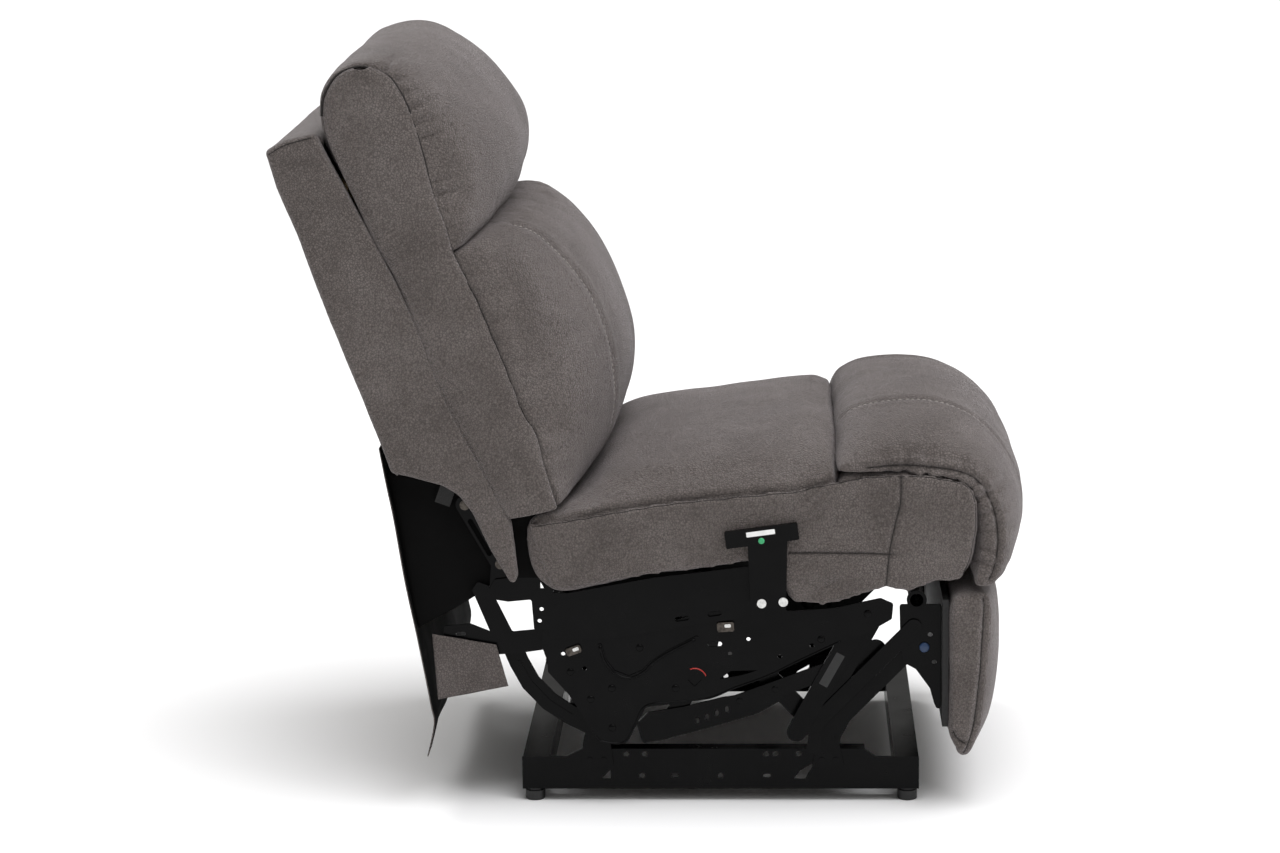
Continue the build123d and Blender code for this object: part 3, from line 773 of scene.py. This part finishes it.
def slab(name, points, side, levels, material, voxel=0.0045):
    """Flat padded panel: an (x, z) outline built up through (inset, |y|) levels, then rounded off."""
    ring = [Vector((x, 0, z)) for x, z in points]
    count = len(ring)
    area = sum(p.x * q.z - q.x * p.z for p, q in zip(ring, ring[1:] + ring[:1]))
    turn = 1 if area > 0 else -1
    inward = []
    for i, point in enumerate(ring):
        tangent = (ring[(i + 1) % count] - ring[i - 1]).normalized()
        inward.append(Vector((-tangent.z, 0, tangent.x)) * turn)
    mesh = bmesh.new()
    rows = []
    for inset, y in levels:
        rows.append([mesh.verts.new((p + n * inset + Vector((0, side * y, 0))) * MM)
                     for p, n in zip(ring, inward)])
    for low, high in zip(rows, rows[1:]):
        for i in range(count):
            k = (i + 1) % count
            mesh.faces.new((low[i], low[k], high[k], high[i]))
    mesh.faces.new(rows[0][::-1])
    mesh.faces.new(rows[-1])
    bmesh.ops.triangulate(mesh, faces=[f for f in mesh.faces if len(f.verts) > 4])
    bmesh.ops.recalc_face_normals(mesh, faces=mesh.faces)
    data = bpy.data.meshes.new(name)
    mesh.to_mesh(data)
    mesh.free()
    panel = bpy.data.objects.new(name, data)
    bpy.context.scene.collection.objects.link(panel)
    data.materials.append(material)
    remesh(panel, voxel)
    smooth = panel.modifiers.new("smooth", "SMOOTH")
    smooth.factor = 0.5
    smooth.iterations = 3
    apply_modifiers(panel)
    return panel


PLUMP_VOXEL = 0.0065


def plump(obj, cap):
    remesh(obj, PLUMP_VOXEL)
    inflate(obj, cap)
    subdivide(obj)


# ---------------------------------------------------------------- seat upholstery
SIDE = 311.0                  # |y| of the side seams, mm
SEAT_EDGE = [(-174, 420), (-100, 430), (-60, 438), (0, 447), (60, 455), (120, 461), (200, 468), (252, 480)]
FRONT_EDGE = [(262, 481), (300, 489), (330, 491), (360, 491), (400, 486), (430, 480), (445, 470),
              (451, 450), (453, 420), (450, 390), (445, 365), (436, 345)]


def make_seat():
    rows = [(-168, 352, -168, 352), (-174, 418, -170, 420), (-130, 427, -122, 436), (-92, 432, -88, 466),
            (-60, 438, -56, 498), (0, 447, 2, 513), (60, 455, 60, 521), (120, 461, 115, 528),
            (180, 466, 180, 536), (225, 473, 226, 541), (249, 479, 249, 540), (256, 470, 256, 524),
            (256, 430, 256, 430), (250, 380, 250, 380), (190, 366, 190, 366), (133, 361, 133, 361),
            (60, 350, 60, 350), (0, 343, 0, 343), (-60, 332, -60, 332), (-120, 321, -120, 321),
            (-143, 325, -143, 325)]
    seat = cushion_mesh("seat_cover", rows, SIDE - 1, crown=(2.4, 0.5))
    plump(seat, 0.004)
    side = snap(seat, line(SEAT_EDGE, -SIDE))
    rumple(seat, 0.0030, 0.12, 3.1)
    gather_sides(seat, side, 0.045, 0.0040, 0.06, (2.0, 5.0))
    seam_groove(seat, [side, side.mirrored()])
    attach(seat, "seat")
    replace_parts(seat, "seat_cushion")


def make_roll():
    rows = [(258, 486, 258, 486), (261, 491, 258, 525), (280, 495, 268, 549), (312, 498, 302, 565),
            (352, 500, 350, 571), (395, 497, 400, 567), (430, 491, 445, 549), (455, 476, 482, 518),
            (470, 450, 506, 480), (478, 420, 519, 445), (480, 390, 524, 410), (477, 360, 519, 378),
            (470, 338, 507, 350), (458, 327, 488, 333), (441, 330, 452, 330), (453, 372, 454, 372),
            (454, 420, 455, 420), (449, 462, 450, 462), (424, 484, 424, 484), (380, 492, 380, 492),
            (320, 493, 320, 493)]
    roll = cushion_mesh("seat_roll_cover", rows, SIDE, crown=(2.6, 0.5), side_bulge=2.0)
    plump(roll, 0.004)
    front = snap(roll, line([(300, 497), (352, 500), (400, 496), (432, 490), (455, 476), (470, 450),
                             (478, 420), (480, 390), (476, 358), (468, 337)], -SIDE))
    row = [(266, 540), (285, 552), (320, 562), (360, 566), (400, 562), (440, 548), (478, 512), (505, 470),
           (518, 420), (508, 365)]
    channels = [snap(roll, line([(x, y, z) for x, z in row])) for y in (-168, 168)]
    rumple(roll, 0.0028, 0.10, 7.7)
    gather_sides(roll, front, 0.026, 0.0085, 0.07, (4.0, 9.0))
    corner = snap(roll, line([(396, 497), (432, 490), (455, 476), (470, 450), (478, 415)], -SIDE))
    gather_sides(roll, corner, 0.016, 0.0080, 0.045, (2.0, 7.0))
    seam_groove(roll, [front, front.mirrored()])
    seam_groove(roll, channels, width=0.006, depth=0.0026, ridge=0.001)
    thread = stitches("roll_stitches", channels, roll)
    shade_cords = seam_shade_cords("roll_seam_shade", roll, [front, front.mirrored()], 0.0008)
    for piece in (roll, thread, shade_cords):
        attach(piece, "seat")
    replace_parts(roll, "seat_roll")


def make_front_box():
    """Upholstered box under the roll; its sides lie behind the side panels."""
    rows = [(192, 311), (200, 304), (240, 301), (270, 308), (300, 318), (325, 326), (355, 319), (390, 332),
            (420, 332), (436, 346), (445, 367), (451, 400), (452, 430), (448, 460), (437, 473),
            (400, 484), (360, 489), (300, 487), (258, 479), (257, 430), (252, 380), (192, 370),
            (188, 340)]
    box = cushion_mesh("front_box_cover", [(x, z, x, z) for x, z in rows], SIDE - 1)
    plump(box, 0.002)
    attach(box, "seat")
    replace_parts(box, "seat_front_box")


def soft_fold(obj, path, height, width, side):
    """A soft standing fold along a path on one side of the object."""
    places, normals = surface(obj)
    away, index = distances(places, path, width * 3)
    last = len(path.points) - 1
    shift = height * numpy.exp(-(away / width) ** 2)
    shift *= numpy.sin(math.pi * numpy.clip(index / last, 0.02, 0.98)) ** 0.6
    shift[places[:, 1] * side < 0] = 0
    reshape(obj, places + normals * shift[:, None])


def make_seat_side(side):
    """One side panel over the seat cushion and the front box, with its seams and folds."""
    lower = [(428, 333), (390, 332), (355, 318), (325, 325), (300, 317), (270, 307), (240, 300), (200, 303),
             (189, 310), (187, 340), (189, 366), (133, 362), (100, 356), (60, 351), (0, 344), (-60, 333),
             (-120, 322), (-142, 324), (-156, 355), (-166, 390)]
    name = sided("seat_side", side)
    levels = ((1.0, 310.4), (0.0, 312.5), (3.0, 314.6), (12.0, 316.0))
    panel = slab(name, [*SEAT_EDGE, *FRONT_EDGE, *lower], side, levels, COVER)
    subdivide(panel)
    fold = line([(252, 472), (232, 452), (205, 428)], side * 316)
    crease = line([(240, 474), (214, 452), (196, 436)], side * 316)
    drape = line([(205, 305), (250, 330), (280, 352)], side * 316)
    hollow = line([(205, 345), (240, 347), (275, 340)], side * 316)
    soft_fold(panel, fold, 0.0042, 0.011, side)
    soft_fold(panel, crease, -0.0040, 0.008, side)
    soft_fold(panel, drape, -0.0036, 0.010, side)
    soft_fold(panel, hollow, 0.0036, 0.011, side)
    rumple(panel, 0.0014, 0.09, 13.0 + side)
    across_seam = snap(panel, line([(190, 377), (260, 377), (334, 375)], side * 318))
    front_seam = snap(panel, line([(345, 489), (345, 450), (338, 420), (330, 380), (325, 329)], side * 318))
    upper_seam = snap(panel, line([(-170, 417), *SEAT_EDGE[1:], *FRONT_EDGE], side * 318))
    seam_groove(panel, [across_seam, front_seam], width=0.003, depth=0.0016, ridge=0.0008)
    shade_cords = seam_shade_cords(name + "_seam_shade", panel, [across_seam, front_seam, upper_seam], 0.0007)
    for piece in (panel, shade_cords):
        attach(piece, "seat")


make_seat()
make_roll()
make_front_box()
make_seat_side(-1)
make_seat_side(1)


# ---------------------------------------------------------------- footrest pad
def make_ottoman():
    rows = [(414, 118, 414, 116), (414, 210, 414, 210), (414, 308, 414, 306), (434, 315, 438, 316),
            (457, 317, 466, 319), (463, 300, 483, 300), (462, 270, 490, 262), (459, 225, 492, 220),
            (455, 180, 490, 178), (450, 135, 482, 138), (443, 102, 468, 108), (434, 78, 447, 86),
            (427, 82, 432, 76), (419, 100, 420, 98)]
    pad = cushion_mesh("ottoman_cover", rows, SIDE, crown=(2.8, 0.5), side_bulge=2.5)
    plump(pad, 0.003)
    front = snap(pad, line([(462, 312), (462, 290), (459, 240), (455, 180), (450, 130), (443, 102),
                            (434, 80)], -SIDE))
    zip_line = snap(pad, line([(414, 116), (426, 106), (438, 100)], -SIDE - 2))
    rumple(pad, 0.0014, 0.08, 5.3)
    lines = [front, front.mirrored(), zip_line, zip_line.mirrored()]
    seam_groove(pad, lines)
    shade_cords = seam_shade_cords("ottoman_seam_shade", pad, lines)
    for piece in (pad, shade_cords):
        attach(piece, "footrest")
    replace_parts(pad, "ottoman_cushion")


make_ottoman()


def make_lumbar():
    rows = [(-198, 427, -194, 430), (-165, 434, -160, 434), (-132, 440, -122, 443), (-141, 480, -90, 474),
            (-152, 525, -62, 518), (-171, 570, -46, 570), (-194, 625, -41, 622), (-215, 680, -53, 682),
            (-237, 732, -80, 745), (-258, 778, -115, 795), (-270, 794, -160, 836), (-288, 790, -205, 843),
            (-316, 776, -262, 808), (-340, 757, -328, 764), (-316, 690, -314, 690),
            (-296, 630, -294, 630), (-276, 580, -274, 580), (-254, 535, -252, 535),
            (-224, 472, -222, 472)]
    lumbar = cushion_mesh("lumbar_cover", rows, SIDE - 2, crown=(2.5, 0.5))
    plump(lumbar, 0.005)
    channel = [(-190, -216, 832), (-150, -205, 815), (-112, -194, 782), (-84, -184, 738), (-64, -177, 680),
               (-54, -173, 622), (-57, -171, 570), (-72, -170, 520), (-104, -170, 472)]
    first = snap(lumbar, line(channel))
    channels = [first, first.mirrored()]
    rumple(lumbar, 0.0038, 0.13, 11.0)
    edge = snap(lumbar, line([(-270, 794), (-240, 740), (-220, 690), (-200, 640), (-180, 582), (-160, 545),
                              (-150, 500), (-134, 444)], -SIDE + 2))
    gather_sides(lumbar, edge, 0.034, 0.0060, 0.075, (3.0, 8.0))
    seam_groove(lumbar, channels, width=0.006, depth=0.0028, ridge=0.0012)
    seam_groove(lumbar, [edge, edge.mirrored()], width=0.005, depth=0.0024, ridge=0.0)
    thread = stitches("lumbar_stitches", channels, lumbar)
    shade_cords = seam_shade_cords("lumbar_seam_shade", lumbar, [edge, edge.mirrored()], 0.0011)
    for piece in (lumbar, thread, shade_cords):
        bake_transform(piece)
    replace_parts(lumbar, "lumbar_cushion")


def make_headrest():
    rows = [(-270, 802, -204, 852), (-279, 838, -192, 878), (-295, 880, -187, 918), (-306, 935, -201, 964),
            (-325, 1000, -236, 1012), (-342, 1032, -290, 1056), (-370, 1052, -345, 1077),
            (-398, 1058, -395, 1071), (-428, 1046, -434, 1052), (-447, 1020, -453, 1020),
            (-452, 988, -456, 988), (-446, 962, -447, 962), (-424, 917, -424, 917),
            (-396, 860, -396, 860), (-366, 798, -364, 798), (-343, 768, -338, 772),
            (-310, 779, -290, 790), (-285, 791, -240, 818)]
    head = cushion_mesh("headrest_cover", rows, SIDE - 2, crown=(2.5, 0.5))
    plump(head, 0.005)
    rumple(head, 0.0038, 0.12, 21.0)
    edge = snap(head, line([(-275, 815), (-288, 860), (-303, 920), (-322, 990), (-340, 1030), (-354, 1045),
                            (-385, 1057)], -SIDE + 2))
    gather_sides(head, edge, 0.021, 0.0085, 0.085, (1.0, 6.0))
    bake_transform(head)
    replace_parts(head, "headrest_cushion")


def make_boxing(side):
    """Side panel of the back cushions, from the seat up round the head."""
    front = [(-132, 440), (-150, 500), (-160, 545), (-179, 580), (-200, 640), (-220, 690), (-240, 740),
             (-262, 785), (-270, 802), (-279, 838), (-294, 880), (-306, 935), (-325, 1000), (-340, 1030),
             (-354, 1045), (-378, 1054)]
    rear = [(-200, 426), (-220, 462), (-240, 502), (-260, 542), (-280, 582), (-300, 632), (-320, 692),
            (-347, 761), (-364, 795), (-380, 828), (-399, 870), (-418, 912), (-436, 958), (-441, 990),
            (-437, 1018), (-420, 1043), (-398, 1053)]
    length = 90
    width = 14
    a = evenly(front, length)
    b = evenly(rear, length)
    vertices = []
    for i in range(length):
        for j in range(width + 1):
            t = j / width
            dome = (1 - abs(2 * t - 1) ** 2.6) ** 0.6
            point = b[i].lerp(a[i], t)
            point.y = side * (SIDE - 3 + 8.5 * dome)
            vertices.append(point * MM)
    name = sided("back_boxing", side)
    panel = make_object(name, vertices, grid_faces(length, width + 1), COVER)
    panel.modifiers.new("thickness", "SOLIDIFY").thickness = 0.004 * side
    apply_modifiers(panel)
    subdivide(panel)
    rumple(panel, 0.0016, 0.10, 31.0 + side)
    edge = line([*front[:-1], (-382, 1056), (-404, 1054), (-424, 1043), (-440, 1018), (-444, 990)],
                side * (SIDE - 1))
    # dark tube along the boxing seam: painted shade of the seam crevice
    shade_cords = tube(name + "_seam_shade", [edge], 0.0019, SHADE_CORD)
    for piece in (panel, shade_cords):
        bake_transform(piece)


make_lumbar()
make_headrest()
make_boxing(-1)
make_boxing(1)


# ---------------------------------------------------------------- back shell
def make_wing(side):
    """Padded side panel of the back."""
    outline = [(-522, 942), (-495, 957), (-453, 968), (-433, 924), (-404, 868), (-377, 818), (-348, 760),
               (-317, 690), (-296, 630), (-276, 580), (-256, 540), (-236, 500), (-216, 460), (-197, 423),
               (-192, 385), (-188, 345), (-193, 332), (-200, 336), (-225, 380), (-250, 435), (-268, 460),
               (-290, 474), (-340, 487), (-362, 491), (-380, 545), (-400, 600), (-440, 705), (-480, 820),
               (-508, 893)]
    name = sided("back_side", side)
    levels = ((2.0, 297.6), (-0.8, 300.5), (-0.8, 311.0), (2.0, 315.5), (9.0, 317.3))
    wing = slab(name, outline, side, levels, COVER, 0.004)
    subdivide(wing)
    rumple(wing, 0.0010, 0.09, 41.0 + side)
    seam = line([(-519, 938), (-494, 952), (-456, 962)], side * 318)
    shade_cords = seam_shade_cords(name + "_seam_shade", wing, [seam])
    for piece in (wing, shade_cords):
        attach(piece, "back")
    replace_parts(wing, "back_wing_right" if side < 0 else "back_wing_left")


def make_gap_shade(side):
    """Near-black strip behind the slit between the side panel and the cushions: painted shade of the slit.
    """
    middle = [(-447, 955), (-428, 912), (-398, 855), (-372, 803), (-346, 750), (-319, 684), (-299, 625),
              (-279, 577), (-259, 537), (-239, 497), (-219, 457), (-203, 428)]
    points = evenly(middle, 60)
    vertices = []
    for point in points:
        for offset in (-16, -8, 0):
            vertices.append(Vector((point.x + offset, side * 296.4, point.z)) * MM)
    strip = make_object(sided("gap_shade_sheet", side), vertices, grid_faces(len(points), 3), SHADE_SHEET)
    strip.modifiers.new("thickness", "SOLIDIFY").thickness = 0.0008
    apply_modifiers(strip)
    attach(strip, "back")


def make_back_panel():
    rows = [(-521, 940), (-497, 953), (-454, 964), (-446, 946), (-488, 928), (-497, 890), (-470, 822),
            (-430, 707), (-390, 602), (-354, 494), (-362, 490), (-381, 545), (-401, 600), (-441, 705),
            (-481, 820), (-508, 893)]
    panel = cushion_mesh("back_outside", [(x, z, x, z) for x, z in rows], 299.5)
    remesh(panel, 0.005)
    rumple(panel, 0.0018, 0.14, 51.0)
    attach(panel, "back")
    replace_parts(panel, "back_panel")


make_wing(-1)
make_wing(1)
make_gap_shade(-1)
make_gap_shade(1)
make_back_panel()


def thicken(sheet, thickness):
    """Gives a sheet its thickness and a near-black backing on the face towards the mechanism: painted shade
    inside the chair.
    """
    sheet.data.materials.append(SHADE_SHEET)
    solid = sheet.modifiers.new("thickness", "SOLIDIFY")
    solid.thickness = thickness
    solid.material_offset = 1
    solid.material_offset_rim = 0
    apply_modifiers(sheet)


def make_side_shade(side):
    """Near-black sheet that closes the side between the loose rear cloth and the hinge: painted shade of
    the opening.
    """
    rear = [(-372, 486), (-362, 430), (-354, 380), (-347, 330), (-340, 290), (-332, 262)]
    front = [(-262, 470), (-236, 440), (-220, 400), (-214, 360), (-228, 326), (-270, 296)]
    rows = 40
    columns = 16
    a = evenly(rear, rows)
    b = evenly(front, rows)
    vertices = []
    for i in range(rows):
        for j in range(columns + 1):
            point = a[i].lerp(b[i], j / columns)
            ripple = 1.4 * noise.noise(Vector((i / 9, j / 5, 7 + side)))
            vertices.append(Vector((point.x, side * (279.5 + ripple), point.z)) * MM)
    cloth = make_object(sided("side_shade_sheet", side), vertices, grid_faces(rows, columns + 1), SHADE_SHEET)
    cloth.modifiers.new("thickness", "SOLIDIFY").thickness = 0.001
    apply_modifiers(cloth)
    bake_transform(cloth)


def make_skirt():
    """Loose cloth behind the mechanism, on the real chair fastened to the back at the top and to the seat
    below; this sheet is baked in place.
    """
    profile = [(-380, 524), (-371, 470), (-362, 420), (-349, 330), (-334, 250), (-325, 200), (-317, 150),
               (-314, 125), (-325, 78)]
    down = evenly(profile, 64, 8)
    columns = 70
    vertices = []
    for i, point in enumerate(down):
        depth = i / (len(down) - 1)
        for j in range(columns + 1):
            y = -298 + 596 * j / columns
            wave = 2.2 * depth * math.sin(y / 52.0 + 0.9)
            wave += 3.0 * depth * noise.noise(Vector((y / 90, depth * 3, 2)))
            vertices.append(Vector((point.x + wave, y, point.z)) * MM)
    skirt = make_object("rear_cloth", vertices, grid_faces(len(down), columns + 1), SKIRT)
    thicken(skirt, 0.0016)
    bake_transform(skirt)
    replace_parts(skirt, "rear_skirt")


def make_flap(side):
    """Small cloth flap at a lower rear corner."""
    corners = [Vector((x, 0, z)) for x, z in ((-312, 256), (-222, 240), (-206, 180), (-306, 160))]
    steps = 26
    vertices = []
    for i in range(steps + 1):
        for j in range(steps + 1):
            top = corners[0].lerp(corners[1], i / steps)
            low = corners[3].lerp(corners[2], i / steps)
            point = top.lerp(low, j / steps)
            point.y = side * (294 + 1.6 * noise.noise(Vector((i / 8, j / 8, 4 + side))))
            vertices.append(point * MM)
    flap = make_object(sided("side_cloth", side), vertices, grid_faces(steps + 1, steps + 1), SKIRT)
    flap.modifiers.new("thickness", "SOLIDIFY").thickness = 0.0016
    apply_modifiers(flap)
    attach(flap, "seat")
    return flap


make_skirt()
make_side_shade(-1)
make_side_shade(1)
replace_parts(make_flap(-1), "skirt_flaps")
make_flap(1)


# ---------------------------------------------------------------- small fittings
def plate(name, corners, side, inner, outer, body, material, radius=1.5):
    """Small flat fitting with rounded edges, on one side of the chair."""
    ring = [Vector((x, 0, z)) for x, z in corners]
    mesh = bmesh.new()
    low = [mesh.verts.new((p + Vector((0, side * inner, 0))) * MM) for p in ring]
    high = [mesh.verts.new((p + Vector((0, side * outer, 0))) * MM) for p in ring]
    mesh.faces.new(low)
    mesh.faces.new(high[::-1])
    for i in range(len(ring)):
        k = (i + 1) % len(ring)
        mesh.faces.new((low[i], high[i], high[k], low[k]))
    upright = [e for e in mesh.edges if abs(e.verts[0].co.y - e.verts[1].co.y) > 1e-6]
    bmesh.ops.bevel(mesh, geom=upright, offset=radius * MM, segments=4, affect="EDGES")
    bmesh.ops.recalc_face_normals(mesh, faces=mesh.faces)
    data = bpy.data.meshes.new(name)
    mesh.to_mesh(data)
    mesh.free()
    piece = bpy.data.objects.new(name, data)
    bpy.context.scene.collection.objects.link(piece)
    data.materials.append(material)
    edge = piece.modifiers.new("edge", "BEVEL")
    edge.width = min(0.0006, abs(outer - inner) * MM * 0.3)
    edge.segments = 2
    edge.limit_method = "ANGLE"
    apply_modifiers(piece)
    piece.data.shade_flat()
    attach(piece, body)
    return piece


def turned(name, centre, side, profile, body, material):
    """Round fitting: a (radius, |y|) profile turned about the axis through the (x, z) centre."""
    count = 28
    vertices = []
    for radius, y in profile:
        for k in range(count):
            angle = 2 * math.pi * k / count
            vertices.append(Vector((centre[0] + radius * math.cos(angle), side * y,
                                    centre[1] + radius * math.sin(angle))) * MM)
    piece = make_object(name, vertices, ring_faces(0, len(profile), count), material)
    mesh = bmesh.new()
    mesh.from_mesh(piece.data)
    bmesh.ops.holes_fill(mesh, edges=[e for e in mesh.edges if e.is_boundary], sides=0)
    bmesh.ops.recalc_face_normals(mesh, faces=mesh.faces)
    mesh.to_mesh(piece.data)
    mesh.free()
    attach(piece, body)
    return piece


def rectangle(centre, width, height, tilt=0.0):
    """Corners of a turned rectangle."""
    c, s = math.cos(math.radians(tilt)), math.sin(math.radians(tilt))
    half = ((-1, -1), (1, -1), (1, 1), (-1, 1))
    return [(centre[0] + c * u * width / 2 - s * v * height / 2,
             centre[1] + s * u * width / 2 + c * v * height / 2) for u, v in half]


HINGE_SHADE = [(-206, 338), (-158, 338), (-160, 414), (-160, 436), (-192, 438), (-198, 424)]
PLATE_BEAD = [(-76, 238), (-70, 217), (-58, 200), (-36, 191), (-15, 200), (-2, 213), (20, 228), (58, 248)]
PLATE_LIP = [(-88, 112), (-74, 98), (-43, 97), (-28, 122), (-12, 150), (32, 156), (78, 162), (112, 176),
             (160, 194), (208, 218), (262, 244)]
SEAT_RIVETS = ((-60, 118), (-90, 160), (-118, 200), (-20, 235), (235, 247), (300, 284), (30, 176),
               (-60, 176))
DRAG_RIVETS = ((120, 155), (170, 172))
SEAT_RIVET = ((5.2, 291.4), (5.2, 292.2), (3.8, 293.1), (1.4, 293.5))
DRAG_RIVET = ((4.6, 282.9), (4.6, 283.3), (3.0, 283.8))
MARK_CENTRE = (57, 188)
MARK_RADIUS = 17


def make_hinge_shade(side):
    """Near-black sheet behind the rear end of the seat's side panel: painted shade."""
    tag = "_right" if side < 0 else "_left"
    hinge_shade_piece = plate("hinge_shade_sheet" + tag, HINGE_SHADE, side, 295.6, 296.6, "seat", SHADE_SHEET,
                       2)


def make_plate_pressings(side):
    """Pressed bead and turned lip on the mechanism plate."""
    bead = tube(sided("plate_bead", side), [line(PLATE_BEAD, side * 293.2)], 0.0022, STEEL)
    lip = tube(sided("plate_lip", side), [line(PLATE_LIP, side * 291.4)], 0.0016, STEEL)
    for piece in (bead, lip):
        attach(piece, "seat")


def make_tags(side):
    """Blank tag and green dot on the connector bracket, blank strip on link A, and two plated clips."""
    plate(sided("connector_label", side), rectangle((151, 408), 40, 7, 7.5), side, 325.2, 325.5, "seat",
          LABEL, 0.5)
    turned(sided("connector_dot", side), (152, 397), side, ((4.4, 325.2), (4.4, 325.5), (2.2, 325.7)),
           "seat", GREEN_DOT)
    for name, centre, size, tilt, inner, outer in (("front_clip", (101, 266), (24, 14), 3, 295.1, 296.4),
                                                   ("rear_clip", (-113, 232), (22, 12), 20, 291.6, 295.5)):
        plate(sided(name, side), rectangle(centre, *size, tilt), side, inner, outer, "seat", DULL_ZINC)
        tab = rectangle((centre[0] + 3, centre[1] + 2), 9, 5, tilt)
        plate(sided(name + "_tab", side), tab, side, outer, outer + 0.8, "seat", ZINC, 0.8)
    plate(sided("link_label", side), rectangle((250, 201), 52, 13, 61), side, 287.05, 287.2, "link_a",
          BLACK_PLASTIC, 0.5)


def make_marks(side):
    """Blue cap on the footrest pivot and red arc round the drive shaft."""
    turned(sided("pivot_cap", side), (380, 232), side, ((7.0, 279.1), (7.0, 281.6), (5.5, 282.6)),
           "footrest", BLUE_CAP)
    ring = []
    for degrees in range(20, 130, 10):
        angle = math.radians(degrees)
        ring.append((MARK_CENTRE[0] + MARK_RADIUS * math.cos(angle),
                     MARK_CENTRE[1] + MARK_RADIUS * math.sin(angle)))
    arc = tube(sided("drive_mark", side), [line(ring, side * 292.0)], 0.0009, RED_RING)
    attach(arc, "seat")


def make_rivets(side):
    """Rivet heads on the mechanism plate and on the drag link."""
    for i, centre in enumerate(SEAT_RIVETS):
        turned(sided(f"rivet_{i}", side), centre, side, SEAT_RIVET, "seat", STEEL)
    for i, centre in enumerate(DRAG_RIVETS):
        turned(sided(f"drag_rivet_{i}", side), centre, side, DRAG_RIVET, "drag", STEEL)


def make_fittings(side):
    make_hinge_shade(side)
    make_plate_pressings(side)
    make_tags(side)
    make_marks(side)
    make_rivets(side)


make_fittings(-1)
make_fittings(1)


# ---------------------------------------------------------------- closing
dress_cad_nodes()
